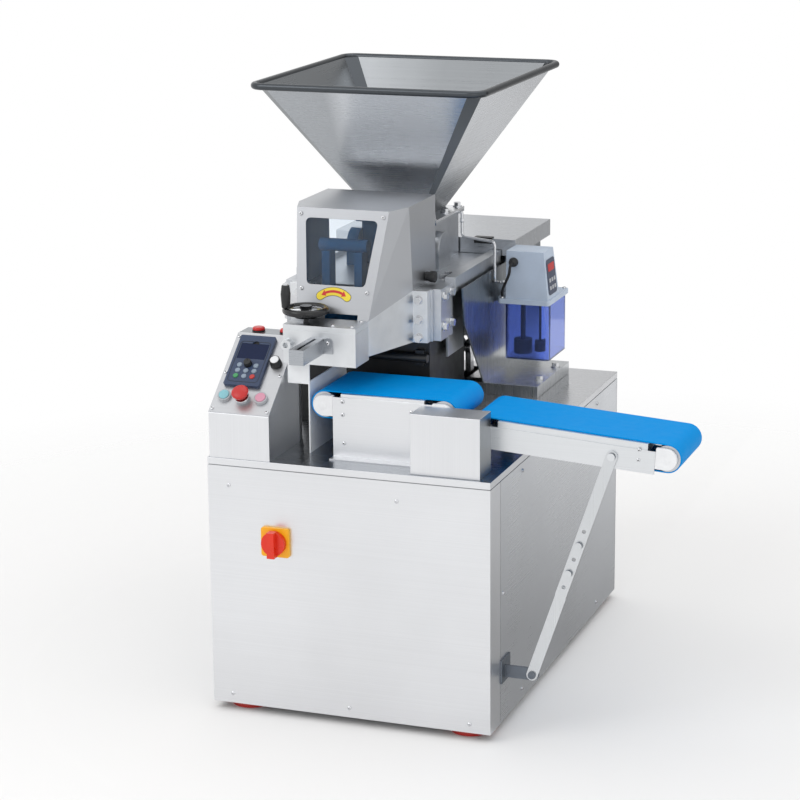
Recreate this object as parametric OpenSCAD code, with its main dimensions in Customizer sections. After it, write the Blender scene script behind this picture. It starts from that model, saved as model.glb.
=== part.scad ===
// Bakery dough divider: hopper, measuring head, two belt conveyors, lubrication pump and drive on a cabinet.
// Millimetres, +Z up. Working frame: X to the right from the cabinet's middle, Y back from the cabinet's
// front, Z up from the floor. The finished part is moved so that its box is centred over the origin.

/* [Cabinet] */
// Outside width of the cabinet
cab_w = 650; // [650:5:700]
// Outside depth of the cabinet
cab_d = 1020; // [1010:5:1100]
// Height from the underside of the panels to the top of the tray
cab_h = 567; // [520:1:620]
// Thickness of the stainless sheet
sheet_t = 2; // [1.5:0.25:2.5]
// Side of the square frame tube
tube_s = 40; // [34:1:44]
// Wall of the frame tube
tube_wall = 3; // [2:0.5:4]
// Thickness of the tray and of the cabinet's floor plate
tray_t = 3; // [2:0.5:4]
// Height of the tray's turned-down lip
lip_h = 15.5; // [10:0.5:22]
// Gap between neighbouring panels
seam = 1.5; // [1:0.25:2.5]
// Depth of the front panel's side returns
return_d = 70; // [50:1:90]

/* [Feet] */
// Height of the feet
foot_h = 18; // [14:1:26]
// Thickness of the foot pads
pad_h = 10; // [6:1:12]
// Diameter of the foot pads
pad_d = 90; // [70:1:110]
// Distance of the feet from the cabinet's edges
foot_inset = 65; // [58:1:90]

/* [Panel screws] */
// Head diameter of a panel screw
screw_head_d = 9; // [7:0.5:11]

/* [Isolator] */
// Distance of the isolator from the cabinet's left edge
iso_edge = 159.5; // [120:0.5:200]
// Height of the isolator above the panel's lower edge
iso_rise = 388.5; // [340:0.5:420]
// Side of the isolator's plate
iso_plate = 66; // [58:1:74]
// Thickness of the isolator's plate
iso_plate_t = 8; // [6:0.5:10]
// Diameter of the isolator's knob
iso_knob_d = 54; // [46:1:58]
// Diameter of the isolator's shaft
iso_shaft_d = 12; // [10:0.5:14]

/* [Control box] */
// Width of the control box
cbox_w = 142; // [136:1:142]
// Depth of the control box
cbox_d = 227; // [218:1:228]
// Height of the control box
cbox_h = 241; // [225:1:250]
// Height of its upright front
cbox_front_h = 103; // [90:1:115]
// Depth of its level top
cbox_top_d = 56; // [55:1:62]
// Distance from the cabinet's left edge
cbox_edge = 5; // [1:1:5]
// Distance from the cabinet's front
cbox_set = 2; // [1:0.5:2.5]
// Thickness of the slanted panel
cpanel_t = 2; // [1.5:0.25:3]

/* [Keypad] */
// Width of the keypad
key_w = 84; // [78:1:88]
// Length of the keypad along the slope
key_l = 138; // [134:1:146]
// Thickness of the keypad
key_t = 9; // [7:0.5:12]
// Distance of the keypad's middle left of the panel's middle
key_left = 14.5; // [10:0.5:18]
// Distance of the keypad's middle up the slope
key_up = 139; // [137:0.5:142]
// Diameter of a key
key_d = 12; // [9:0.5:14]
// Spacing of the keys across the slope
key_pitch_u = 19.5; // [18:0.5:22]
// Spacing of the keys up the slope
key_pitch_v = 15; // [14:0.5:17]
// Height of the keys above the keypad
key_proud = 2; // [1:0.25:3]
// Diameter of the keypad's dial
dial_d = 19; // [15:0.5:21]

/* [Push buttons] */
// Distance of the buttons up the slope
button_up = 43; // [40:0.5:46]
// Spacing of the buttons
button_pitch = 43; // [40:0.5:46]
// Outside diameter of a button's collar
collar_d = 30; // [28:0.5:33]
// Height of a button's collar
collar_h = 7; // [5:0.5:9]
// Diameter of a button's cap
button_d = 23; // [20:0.5:24]
// Travel of the start and stop buttons
button_travel = 3; // [2:0.25:4]
// Diameter of the emergency stop's head
estop_d = 38; // [34:1:42]
// Travel of the emergency stop
estop_travel = 5; // [4:0.25:6]
// Diameter of the buttons' stems
stem_d = 12; // [10:0.5:14]
// Distance of the speed knob right of the panel's middle
speed_right = 46; // [45:0.5:48]
// Distance of the speed knob up the slope
speed_up = 140; // [130:1:150]
// Diameter of the speed knob
speed_d = 27; // [22:0.5:28]

/* [Lamps] */
// Diameter of the red lamps
lamp_d = 29; // [24:1:32]
// Spacing of the two lamps
lamp_pitch = 66; // [50:1:80]

/* [Belts] */
// Width of both belts
belt_w = 180; // [160:1:200]
// Thickness of both belts
belt_t = 2.5; // [2:0.25:3.5]
// Outside radius of a belt at its rollers
belt_r = 31; // [28:0.5:33]
// Distance of the conveyors' outer face from the cabinet's front
conv_y = 85; // [80:1:90]
// Thickness of the conveyors' side plates
side_t = 3; // [2:0.5:4]
// Thickness of the white end caps
cap_t = 12; // [10:0.5:14]
// Radius of the white end caps
cap_r = 22.5; // [20:0.5:25]
// Diameter of the roller shafts
axle_d = 15; // [12:0.5:17]

/* [Infeed conveyor] */
// Height of the infeed belt's top above the tray
in_h = 145; // [138:1:155]
// Distance of the left roller left of the cabinet's middle
in_left = 85; // [78:1:86]
// Distance between the infeed rollers
in_l = 274; // [260:1:280]
// Height of the infeed side plates
in_side_h = 135; // [125:1:138]

/* [Outfeed conveyor] */
// Distance from the infeed's right roller to the outfeed's inner roller
out_step = 82; // [76:0.5:88]
// Drop of the outfeed's inner roller below the infeed's
out_drop = 28; // [24:0.5:32]
// Distance between the outfeed rollers
out_l = 410; // [380:1:450]
// Downward slope of the outfeed in degrees
out_slope = 3.9; // [2:0.1:6]
// Height of the outfeed's side rails
rail_h = 50; // [44:1:54]
// Height of the rails' upper edge above the rollers' axes
rail_up = 15; // [15:0.5:17]

/* [Drive cover] */
// Width of the drive cover
dcov_w = 156; // [150:1:170]
// Height of the drive cover
dcov_h = 133; // [131:1:140]
// Depth of the drive cover
dcov_d = 75.5; // [72:0.5:78]
// Distance of the cover's left side left of the drive roller
dcov_left = 46; // [36:1:52]
// Radius of the chain wheels
wheel_r = 11; // [9:0.5:12]

/* [Strut] */
// Width of the strut's bars
bar_w = 25; // [20:1:30]
// Thickness of the strut's bars
bar_t = 5; // [4:0.5:6]
// Distance of the upper pivot from the outfeed's inner roller
strut_at = 295; // [285:1:305]
// Distance of the upper pivot below the rollers' axes
strut_low = 9; // [6:0.5:12]
// Length of the strut's upper bar below its pivot
upper_l = 335; // [320:1:345]
// Distance of the first hole from the upper pivot
hole_first = 179; // [170:1:185]
// Spacing of the strut's holes
hole_pitch = 34; // [32:0.5:35]
// Number of holes
hole_n = 5; // [4:1:5]
// Diameter of the holes and of the clamp bolts
hole_d = 9; // [7:0.5:10]
// Diameter of the strut's pivot pins
pin_d = 10; // [8:0.5:12]
// Height of the lower pivot above the panel's lower edge
foot_pin_up = 116; // [105:1:125]

/* [Measuring head] */
// Distance of the head's middle left of the cabinet's middle
head_left = 88; // [84:1:88]
// Height of the dough chamber's underside above the tray
chamber_up = 212; // [205:1:225]
// Distance of the head block from the cabinet's front
block_y = 78; // [74:1:84]
// Half width of the head block
block_hw = 84; // [80:1:84]
// Depth of the head block
block_d = 80; // [78:1:90]
// Height of the head block
block_h = 86; // [82:1:92]
// Distance of the block's underside below the chamber's
block_drop = 7; // [4:1:10]
// Length of the tapered casting behind the block
casting_l = 158; // [150:1:166]
// Half width of the casting at its rear
casting_hw = 130; // [124:1:136]
// Wall of the casting
casting_t = 6; // [5:0.5:8]
// Thickness of the casting's rear flange
flange_t = 20; // [16:1:24]
// Width of the flange's ears
ear_w = 34; // [28:1:38]

/* [Weight setting] */
// Outside width of the square scale tube
scale_s = 33; // [30:1:36]
// Wall of the scale tube
scale_wall = 3; // [2:0.5:4]
// Length of the scale tube in front of the block
scale_l = 120; // [110:1:130]
// Height of the scale tube's axis above the block's underside
scale_up = 44; // [40:1:46]
// Distance of the scale tube's axis left of the head's middle
scale_left = 4.5; // [0:0.5:8]
// Distance of the handwheel's axis left of the scale tube's axis
wheel_left = 38; // [35:0.5:40]
// Distance of the handwheel's axis behind the block's front
wheel_in = 33; // [30:0.5:36]
// Outside diameter of the handwheel
hwheel_d = 104; // [96:1:108]
// Diameter of the handwheel's rim
rim_d = 15; // [12:0.5:16]
// Height of the handwheel's rim above the block
hwheel_up = 27; // [24:0.5:32]
// Diameter of the handwheel's shaft
hshaft_d = 12; // [10:0.5:14]
// Diameter of the crank grip
grip_d = 22; // [18:0.5:24]
// Length of the crank grip
grip_l = 50; // [40:1:60]

/* [Hood] */
// Height of the hood above the block
hood_h = 230; // [215:1:235]
// Distance that the hood's front leans back
hood_lean = 72; // [60:1:80]
// Half width of the hood's front at its top
hood_front_hw = 108; // [104:1:114]
// Distance of the hood's side folds behind the block
hood_fold = 137; // [125:1:145]
// Depth of the hood behind the block
hood_d = 312; // [300:1:330]
// Margin of the window at its sides
win_side = 22; // [18:1:28]
// Margin of the window at its top
win_top = 22; // [18:1:28]
// Height of the window along the slope
win_h = 146; // [132:1:150]
// Radius of the window's corners
win_r = 11; // [6:1:14]

/* [Dough chamber] */
// Half width of the chamber's body
chamber_hw = 169; // [165:1:172]
// Height of the chamber's body
chamber_h = 118; // [112:1:124]
// Distance from the cabinet's back to the chamber's back
chamber_set = 260; // [254:1:264]
// Half width of the ram's channel
channel_hw = 100; // [96:1:106]
// Height of the ram's channel
channel_h = 85; // [80:1:88]
// Thickness of the chamber's floor
channel_floor = 18; // [15:1:20]
// Width of the chamber's side blocks
lug_w = 17; // [14:1:18]
// Length of the chamber's side blocks
lug_l = 80; // [70:1:90]
// Height of the side bars
sbar_h = 34; // [28:1:38]
// Height of the side bars above the chamber's top
sbar_up = 12; // [8:1:14]
// Half width of the throat
throat_hw = 88; // [84:1:92]
// Half depth of the throat
throat_hd = 91; // [86:1:92]
// Wall of the throat
throat_wall = 4; // [3:0.5:5]
// Height of the throat above the chamber
throat_h = 100; // [94:1:110]
// Rim of the throat's and the hopper's flanges
neck_rim = 11; // [9:0.5:12]
// Thickness of the throat's and the hopper's flanges
neck_t = 6; // [5:0.5:8]

/* [Hopper] */
// Half width of the hopper's mouth over the rim
hopper_hw = 281; // [265:1:295]
// Half depth of the hopper's mouth over the rim
hopper_hd = 309; // [295:1:325]
// Height of the hopper above its flange
hopper_h = 321; // [300:1:350]
// Half width of the hopper's outlet
outlet_hw = 56; // [50:1:62]
// Half depth of the hopper's outlet
outlet_hd = 82; // [74:1:84]
// Sheet of the hopper measured level
hopper_t = 3; // [2:0.5:4]
// Bevel of the hopper's corners at the mouth
bevel_top = 26; // [20:1:32]
// Diameter of the rolled rim
roll_d = 16; // [12:0.5:18]

/* [Rear housing] */
// Thickness of the housing's plates
plate_t = 4; // [3:0.5:5]
// Gap between the side bars and the housing's side plates
plate_gap = 7; // [5:0.5:9]
// Distance of the side plates' front behind the chamber's front
plate_in = 109; // [100:1:118]
// Height of the side plates above the chamber's underside
plate_up = 101; // [95:1:108]
// Distance of the lid's front behind the throat
lid_back = 7; // [5:0.5:10]
// Depth of the lid
lid_d = 289; // [275:1:300]
// Height of the lid above the chamber's underside
lid_up = 155; // [150:1:165]
// Height of the lid's rim
lid_rim = 40; // [34:1:46]
// Overhang of the lid beyond the side plates
lid_over = 24; // [20:1:24]
// Height of the foot layers under the side plates
foot_layer = 28.5; // [26:0.5:30]
// Width of the right foot beside the side plate
foot_out = 134; // [125:1:140]
// Length of the right foot
foot_len = 262; // [250:1:280]

/* [Lubrication pump] */
// Width of the pump's flange
pump_w = 126; // [120:1:130]
// Depth of the pump's flange
pump_d = 166; // [158:1:172]
// Thickness of the pump's flange
pump_t = 12; // [10:0.5:14]
// Gap between the side plate and the pump
pump_gap = 6; // [5:0.5:8]
// Distance of the pump's front behind the side plate's front
pump_in = 238; // [232:1:250]
// Height of the pump's flange above the chamber's underside
pump_up = 18; // [14:1:22]
// Height of the pump's cap
pcap_h = 114; // [105:1:120]
// Height of the tank
tank_h = 134; // [125:1:138]
// Inset of the tank from the flange's left edge
tank_in = 14; // [12:1:18]
// Diameter of the oil pipe
oil_d = 7; // [5:0.5:9]
// Diameter of the pump's lead
lead_d = 6.5; // [5:0.5:7]

/* [Drive] */
// Stroke angle of the rocker in degrees
rocker_swing = 72; // [68:1:76]
// Length of the rocker's upper arm
rocker_arm = 150; // [146:1:154]
// Length of the rocker's rear arm
rocker_rear = 54; // [50:1:56]
// Height of the rocker's shaft above the tray
rocker_up = 95; // [92:1:100]
// Diameter of the rocker's shaft
rocker_d = 24; // [20:1:28]
// Diameter of the pins in the drive
drive_pin_d = 16; // [14:0.5:18]
// Radius of the crank disc
disc_r = 72; // [68:1:78]
// Height of the crank's axis above the floor plate
crank_up = 239; // [225:1:250]
// Half width of the gearbox
gear_hw = 58; // [52:1:62]
// Diameter of the main motor
motor_d = 140; // [130:1:150]
// Length of the main motor
motor_l = 230; // [210:1:250]
// Diameter of the measuring drum
drum_d = 72; // [66:1:74]

/* [Hidden] */
$fn = 48;

// Radial running clearance of a shaft in its bore
run_fit = 0.05;
// Clearance between faces that move past each other
slide_gap = 0.3;
// Overlength of a cutting body
over = 1;

// Hairline at the butt of two frame tubes
butt_gap = 0.05;

// Small sizes that stay as they are
screw_shank_d = 5;
iso_lever_w = 17;
iso_body_d = 55;
cpanel_seat = 9;
mat_t = 1.6;
dial_h = 11;
chain_t = 3;
chain_w = 6;
win_t = 4;
win_lap = 8;
bevel_low = 8;
tank_wall = 3;
disc_t = 16;
speed_h = 15;
screw_head_h = 3;
iso_knob_h = 14;
iso_lever_h = 13;
neck_d = 40;
slot_w = 7;
foot_pin_out = 67;
in_foot_w = 25;
lamp_h = 7;
cap_reach = cap_r + 0.5;

// Cabinet levels and sides
panel_z = foot_h;
tray_z = foot_h + cab_h;
panel_top = tray_z - lip_h - seam;
half_w = cab_w / 2;
frame_top = tray_z - tray_t;
floor_z = panel_z + tube_s;

// Isolator
iso_x = iso_edge - half_w;
iso_z = panel_z + iso_rise;
iso_reach = iso_plate_t + slide_gap + iso_knob_h + iso_lever_h;
iso_neck_d = iso_shaft_d + 18;

// Control box: middle, slanted side and its angle
cbox_x = cbox_edge + cbox_w / 2 - half_w;
slant_rise = cbox_h - cbox_front_h;
slant_run = cbox_d - cbox_top_d;
slant = atan2(slant_rise, slant_run);
slant_l = norm([slant_run, slant_rise]);
pot_d = 7;
box_gap = 1;
barrel_d = stem_d + 10;
barrel_l = 20;
block_l = 22;

// Conveyors: inner faces, axes and rollers
belt_gap = 1;
belt_y = conv_y + cap_t + belt_gap;
conv_back = belt_y + belt_w + belt_gap + cap_t;
roller_r = belt_r - belt_t - slide_gap;
bed_t = 11;
in_x0 = -in_left;
in_x1 = in_x0 + in_l;
in_z = tray_z + in_h - belt_r;
out_x = in_x1 + out_step;
out_z = in_z - out_drop;
out_dir = [cos(out_slope), -sin(out_slope)];
out_tip = out_x + out_l * out_dir[0] + belt_r;
tongue_l = 34;
tongue_h = 24;

// Drive cover, motor wheel and the two chain planes
dcov_x = in_x1 - dcov_left;
dcov_y = conv_y - dcov_d;
motor_x = in_x1 + 46;
motor_r = 28;
motor_z = tray_z + 10 + motor_r;
chain_gap = 4;
chain_b_y = dcov_y + dcov_d / 2;
chain_a_y = chain_b_y + chain_w + chain_gap;
bracket_t = 5;
bracket_w = 30;

// Strut: pivots, direction and length at rest
top_pin = [out_x + strut_at * out_dir[0] - strut_low * sin(out_slope),
  out_z + strut_at * out_dir[1] - strut_low * cos(out_slope)];
foot_pin = [half_w + foot_pin_out, panel_z + foot_pin_up];
strut_vec = top_pin - foot_pin;
strut_l = norm(strut_vec);
strut_tilt = atan2(strut_vec[1], strut_vec[0]);
upper_y = conv_y - slide_gap - bar_t;
lower_y = upper_y + bar_t + slide_gap;
clamp_near = strut_l - hole_first - hole_pitch * 3;
clamp_far = strut_l - hole_first - hole_pitch;
clamp_travel = 30;
slot_play = 3;
lower_l = clamp_far + clamp_travel + hole_d + bar_w / 2;

// Measuring head
head_x = -head_left;
chamber_z = tray_z + chamber_up;
block_z = chamber_z - block_drop;
block_top = block_z + block_h;
block_back = block_y + block_d;
casting_y = block_back + casting_l;
chamber_y = casting_y + flange_t;
chamber_back = cab_d - chamber_set;
chamber_top = chamber_z + chamber_h;
scale_x = head_x - scale_left;
scale_z = block_z + scale_up;
scale_bore = scale_s - 2 * scale_wall;
bar_s = scale_bore - 2 * slide_gap;
wheel_x = scale_x - wheel_left;
wheel_y = block_y + wheel_in;
hwheel_z = block_top + hwheel_up;
pinion_r = wheel_left - bar_s / 2 - slide_gap;
pinion_h = 20;
rim_r = (hwheel_d - rim_d) / 2;
grip_turn = 215;
bar_back = block_back - 10;
bar_front = block_y - 58;
drum_y = block_back + casting_l / 2;
drum_z = chamber_z + casting_t + 6 + drum_d / 2;
drum_hw = block_hw - 2;
drum_pin_d = 20;
drum_end = (block_hw + casting_hw) / 2 - casting_t;
hood_top = block_top + hood_h;
hood_slope_l = norm([hood_lean, hood_h]);
hood_angle = atan2(hood_lean, hood_h);
win_low = hood_slope_l - win_top - win_h;

// Dough chamber, throat and hopper
channel_z = chamber_z + channel_floor;
lug_y = chamber_y + 9;
sbar_hw = chamber_hw + lug_w + 7;
throat_y = chamber_back - throat_hd - 2;
throat_top = chamber_top + throat_h;
boss_r = throat_h * 0.42;
boss_l = 27;
hopper_z = throat_top + neck_t;
mouth_z = hopper_z + neck_t + hopper_h;
hopper_side = hopper_hw - roll_d + hopper_t;
hopper_end = hopper_hd - roll_d + hopper_t;
roll_mid = roll_d / 2 - hopper_t;

// Rear housing
plate_hw = sbar_hw + plate_gap;
plate_y = chamber_y + plate_in;
foot_z = tray_z + 2 * foot_layer;
lid_y = throat_y + throat_hd + lid_back;
lid_back_y = lid_y + lid_d;
lid_z = chamber_z + lid_up;
housing_back = lid_back_y - 4;
plate_x = head_x + plate_hw + plate_t;
foot_y = plate_y + 155;

// Lubrication pump
pump_x = plate_x + pump_gap;
pump_y = plate_y + pump_in;
pump_z = chamber_z + pump_up;
tank_x = pump_x + tank_in;
pcap_x = pump_x + 18;

// Drive: rocker, ram and crank at rest
ram_z = channel_z + slide_gap;
ram_h = channel_h - 2 * slide_gap;
rocker_half = rocker_swing / 2;
stroke_half = rocker_arm * sin(rocker_half);
lug_hw = drive_pin_d / 2 + 10;
rocker_y = chamber_back + lug_hw + 2 + stroke_half;
rocker_z = tray_z + rocker_up;
ram_front = throat_y + throat_hd - 8;
ram_block = 60;
tail_hw = 10;
pin_y = rocker_y + stroke_half;
pin_z = rocker_z + rocker_arm * cos(rocker_half);
arm_t = 16;
arm_gap = 4;
crank_y = rocker_y + rocker_rear * cos(rocker_half);
crank_r = rocker_rear * sin(rocker_half);
rod_top = rocker_z - crank_r;
crank_z = floor_z + crank_up;
rod_low = crank_z - crank_r;
arm_x = head_x + tail_hw + arm_gap;
rear_arm_x = arm_x + arm_t + 8;
rod_x = rear_arm_x + arm_t + 3;
rod_t = 14;
bearing_l = 60;
eye_r = drive_pin_d / 2 + 10;

// Middle of the finished part's box
x_min = min(head_x - hopper_hw, -half_w);
y_min = min(block_y - scale_l, -iso_reach);
y_max = max(lid_back_y, cab_d);
origin_x = (x_min + out_tip) / 2;
origin_y = (y_min + y_max) / 2;

// Positions that several pieces share
front_screws = [[50 - half_w, tray_z - 60], [half_w - 210, tray_z - 60], [47 - half_w, panel_z + 22],
  [0, panel_z + 22], [half_w - 47, panel_z + 20]];
side_screws = [[228, tray_z - 35], [cab_d - 186, tray_z - 35], [return_d + 21, panel_z + 294],
  [228, panel_z + 24], [cab_d - 176, panel_z + 24]];
rear_screws = [[50 - half_w, tray_z - 60], [half_w - 50, tray_z - 60], [50 - half_w, panel_z + 22],
  [half_w - 50, panel_z + 22]];
button_spots = [for (i = [-1:1]) [i * button_pitch - 2.5, button_up - (i == 0 ? 2 : 0)]];
key_spots = [for (c = [-1, 0, 1], r = [0, 1, 2]) if (c != 0 || r != 2) [c * key_pitch_u, r * key_pitch_v - 44]];
dial_spot = [0, 2 * key_pitch_v - 41];
lamp_spots = [for (s = [-1, 1]) [cbox_x + s * lamp_pitch / 2, cbox_set + cbox_d - cbox_top_d / 2]];
pipe_points = [[head_x + throat_hw + neck_rim, throat_y + 64, throat_top + neck_t / 2],
  [head_x + throat_hw + neck_rim + oil_d, throat_y + 64, throat_top + neck_t / 2],
  [head_x + throat_hw + neck_rim + oil_d, throat_y + 64, throat_top - 55],
  [plate_x + oil_d / 2 + 1.6, throat_y - 2, throat_top - 50],
  [plate_x + oil_d / 2 + 1.6, throat_y - 2, pump_z + pump_t + 44],
  [plate_x + oil_d / 2 + 1.6, pump_y + 14, pump_z + pump_t + 36],
  [pcap_x - 1, pump_y + 14, pump_z + pump_t + 36]];
lead_points = [[pcap_x + 20, pump_y + 5, pump_z + pump_t + 88], [pcap_x + 20, pump_y - 14, pump_z + pump_t + 88],
  [pcap_x + 14, pump_y - 22, pump_z + pump_t + 78], [pcap_x + 5, pump_y - 21, pump_z + pump_t + 52],
  [pcap_x - 4, pump_y - 14, pump_z + pump_t + 30], [pcap_x - 9, pump_y, pump_z + pump_t + 16],
  [pcap_x - 10, pump_y + 10, pump_z + pump_t + 9], [pcap_x - 10, pump_y + 10, pump_z + pump_t]];

// Shapes that repeat

// The finished part's frame
module placed() {
  translate([-origin_x, -origin_y, 0]) children();
}

// Block between two corners
module span(low, high) {
  translate(low) cube(high - low);
}

// Square tube between two corners, open along one axis
module tube(low, high, axis) {
  across = [for (i = [0:2]) i == axis ? 0 : 1];
  along = [for (i = [0:2]) i == axis ? over : 0];
  difference() {
    span(low, high);
    span(low + tube_wall * across - along, high - tube_wall * across + along);
  }
}

// Round bars along the three axes, from a start point
module rod_x(start, d, l) {
  translate(start) rotate([0, 90, 0]) cylinder(d = d, h = l);
}
module rod_y(start, d, l) {
  translate(start) rotate([-90, 0, 0]) cylinder(d = d, h = l);
}
module rod_z(start, d, l) {
  translate(start) cylinder(d = d, h = l);
}

// Flat plate with round corners, centred in X and Y
module round_plate(w, h, t, r) {
  for (x = [-1, 1], y = [-1, 1]) translate([x * (w / 2 - r), y * (h / 2 - r), 0]) cylinder(r = r, h = t);
  translate([-w / 2 + r, -h / 2, 0]) cube([w - 2 * r, h, t]);
  translate([-w / 2, -h / 2 + r, 0]) cube([w, h - 2 * r, t]);
}

// Bar with round ends in the XZ plane, from the origin along X, with its thickness along Y
module round_bar(l, w, t) {
  rod_y([0, 0, 0], w, t);
  rod_y([l, 0, 0], w, t);
  span([0, 0, -w / 2], [l, t, w / 2]);
}

// Solid between two loops of the same number of points, counted anticlockwise seen from above
module loft(lower, upper) {
  n = len(lower);
  polyhedron(
    points = concat(lower, upper),
    faces = concat(
      [[for (i = [0:n - 1]) i]],
      [[for (i = [n - 1:-1:0]) n + i]],
      [for (i = [0:n - 1]) [i, n + i, n + (i + 1) % n, (i + 1) % n]]));
}

// Rectangle with bevelled corners as a loop at one level
function bevel_loop(mid, hw, hd, c, z) =
  [for (p = [[c - hw, -hd], [hw - c, -hd], [hw, c - hd], [hw, hd - c], [hw - c, hd], [c - hw, hd], [-hw, hd - c],
    [-hw, c - hd]]) [mid[0] + p[0], mid[1] + p[1], z]];

// Frames on the cabinet's faces: local Z points outwards
module on_front(p) {
  translate([p[0], 0, p[1]]) rotate([90, 0, 0]) children();
}
module on_side(s, p) {
  translate([s * half_w, p[0], p[1]]) rotate([0, 90 * s, 0]) children();
}
module on_rear(p) {
  translate([p[0], cab_d, p[1]]) rotate([-90, 0, 0]) children();
}

// Frame of the slanted panel: X across, Y up the slope, Z outwards
module on_slant(p) {
  translate([cbox_x, cbox_set, tray_z + cbox_front_h]) rotate([slant, 0, 0]) translate([p[0], p[1], 0]) children();
}

// Panel screw with a cross slot, seated at the local origin
module panel_screw() {
  translate([0, 0, -sheet_t]) cylinder(d = screw_shank_d, h = sheet_t);
  difference() {
    union() {
      cylinder(d = screw_head_d, h = screw_head_h / 2);
      translate([0, 0, screw_head_h / 2])
        cylinder(d1 = screw_head_d, d2 = screw_head_d * 0.6, h = screw_head_h / 2);
    }
    for (a = [0, 90]) rotate([0, 0, a])
      translate([-screw_head_d / 4, -screw_head_d / 16, screw_head_h / 2])
        cube([screw_head_d / 2, screw_head_d / 8, screw_head_h]);
  }
}
module panel_hole() {
  translate([0, 0, -sheet_t - over]) cylinder(d = screw_shank_d + 2 * run_fit, h = sheet_t + 2 * over);
}

// Hexagon bolt head with its washer, seated at the local origin
bolt_af = 15;
module hex_bolt() {
  cylinder(d = bolt_af * 1.45, h = 2);
  translate([0, 0, 2]) cylinder(d = bolt_af * 1.155, h = 8, $fn = 6);
}

// Loop of belt or chain in the XZ plane between two axes, from the first along X
module loop(l, r, t, w) {
  difference() {
    round_bar(l, 2 * r, w);
    translate([0, -over, 0]) round_bar(l, 2 * (r - t), w + 2 * over);
  }
}

// White end cap around a roller's axis: X towards the side plate, Y inwards from the outer face
module end_cap() {
  difference() {
    union() {
      rod_y([0, 0, 0], 2 * cap_r, cap_t);
      span([0, 0, -cap_r], [cap_reach, cap_t, cap_r]);
      span([cap_reach - over, side_t, -tongue_h / 2], [cap_reach + tongue_l, cap_t, tongue_h / 2]);
    }
    rod_y([0, -over, 0], axle_d + 2 * run_fit, cap_t + 2 * over);
  }
}

// Four end caps of a conveyor of one length, in its own frame
module four_caps(l) {
  for (end = [0, 1], back = [0, 1])
    translate([end * l, back * (conv_back - conv_y), 0])
      mirror([end, 0, 0]) mirror([0, back, 0]) end_cap();
}

// Roller with its shaft, in a conveyor's frame; reach is the shaft's length in front of the outer face
module roller(reach) {
  rod_y([0, belt_y - conv_y, 0], 2 * roller_r, belt_w);
  rod_y([0, -reach, 0], axle_d, conv_back - conv_y + reach);
}

// Chain wheel with shallow teeth
wheel_teeth = 14;
module chain_wheel(y) {
  difference() {
    rod_y([0, y, 0], 2 * wheel_r, chain_w);
    for (i = [0:wheel_teeth - 1]) rotate([0, i * 360 / wheel_teeth, 0])
      rod_y([wheel_r, y - over, 0], wheel_r * 0.22, chain_w + 2 * over);
  }
}

// Frame of the outfeed conveyor: origin on its inner roller's axis at the outer face
module on_outfeed() {
  translate([out_x, conv_y, out_z]) rotate([0, out_slope, 0]) children();
}
// Frame of the infeed conveyor
module on_infeed() {
  translate([in_x0, conv_y, in_z]) children();
}
// Frame of the strut: X from the lower to the upper pivot
module on_strut() {
  translate([foot_pin[0], 0, foot_pin[1]]) rotate([0, -strut_tilt, 0]) children();
}
// Both sides of the head's middle plane
module head_sides() {
  translate([head_x, 0, 0]) for (s = [0, 1]) mirror([s, 0, 0]) children();
}
// Frame of the hood's front: X across, Y up the slope, Z outwards
module on_hood() {
  translate([head_x, block_back, block_top]) rotate([90 - hood_angle, 0, 0]) children();
}

// Cabinet

module base_frame() {
  color("gray") placed() {
    x = half_w - sheet_t;
    y0 = sheet_t;
    y1 = cab_d - sheet_t;
    in_x = x - tube_s - butt_gap;
    in_y0 = y0 + tube_s + butt_gap;
    in_y1 = y1 - tube_s - butt_gap;
    for (s = [-1, 1]) {
      edge = s < 0 ? -x : x - tube_s;
      for (y = [y0, y1 - tube_s]) tube([edge, y, panel_z], [edge + tube_s, y + tube_s, frame_top], 2);
      for (z = [panel_z, frame_top - tube_s]) tube([edge, in_y0, z], [edge + tube_s, in_y1, z + tube_s], 1);
    }
    for (y = [y0, y1 - tube_s], z = [panel_z, frame_top - tube_s])
      tube([-in_x, y, z], [in_x, y + tube_s, z + tube_s], 0);
    span([-in_x, in_y0, floor_z - tray_t], [in_x, in_y1, floor_z]);
    for (y = [in_y0, in_y1 - tube_s]) span([-in_x, y, panel_z], [in_x, y + tube_s, floor_z]);
  }
}

module front_panel() {
  color("lightgray") placed() difference() {
    union() {
      span([-half_w, 0, panel_z], [half_w, sheet_t, panel_top]);
      for (x = [-half_w, half_w - sheet_t]) span([x, 0, panel_z], [x + sheet_t, return_d, panel_top]);
    }
    for (p = front_screws) on_front(p) panel_hole();
    on_front([iso_x, iso_z]) translate([0, 0, -sheet_t - over])
      cylinder(d = iso_neck_d, h = sheet_t + 2 * over);
  }
}

module cabinet_panels() {
  color("silver") placed() {
    difference() {
      for (x = [-half_w, half_w - sheet_t])
        span([x, return_d + seam, panel_z], [x + sheet_t, cab_d - sheet_t - seam, panel_top]);
      for (s = [-1, 1], p = side_screws) on_side(s, p) panel_hole();
    }
    difference() {
      span([-half_w, cab_d - sheet_t, panel_z], [half_w, cab_d, panel_top]);
      for (p = rear_screws) on_rear(p) panel_hole();
    }
  }
}

module top_tray() {
  rod_slot = crank_r + eye_r + 6;
  color("silver") placed() difference() {
    span([-half_w, 0, tray_z - lip_h], [half_w, cab_d, tray_z]);
    span([sheet_t - half_w, sheet_t, tray_z - lip_h - over],
      [half_w - sheet_t, cab_d - sheet_t, tray_z - tray_t]);
    span([rod_x - 8, crank_y - rod_slot, frame_top - over],
      [rod_x + rod_t + 8, crank_y + rod_slot, tray_z + over]);
  }
}

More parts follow.
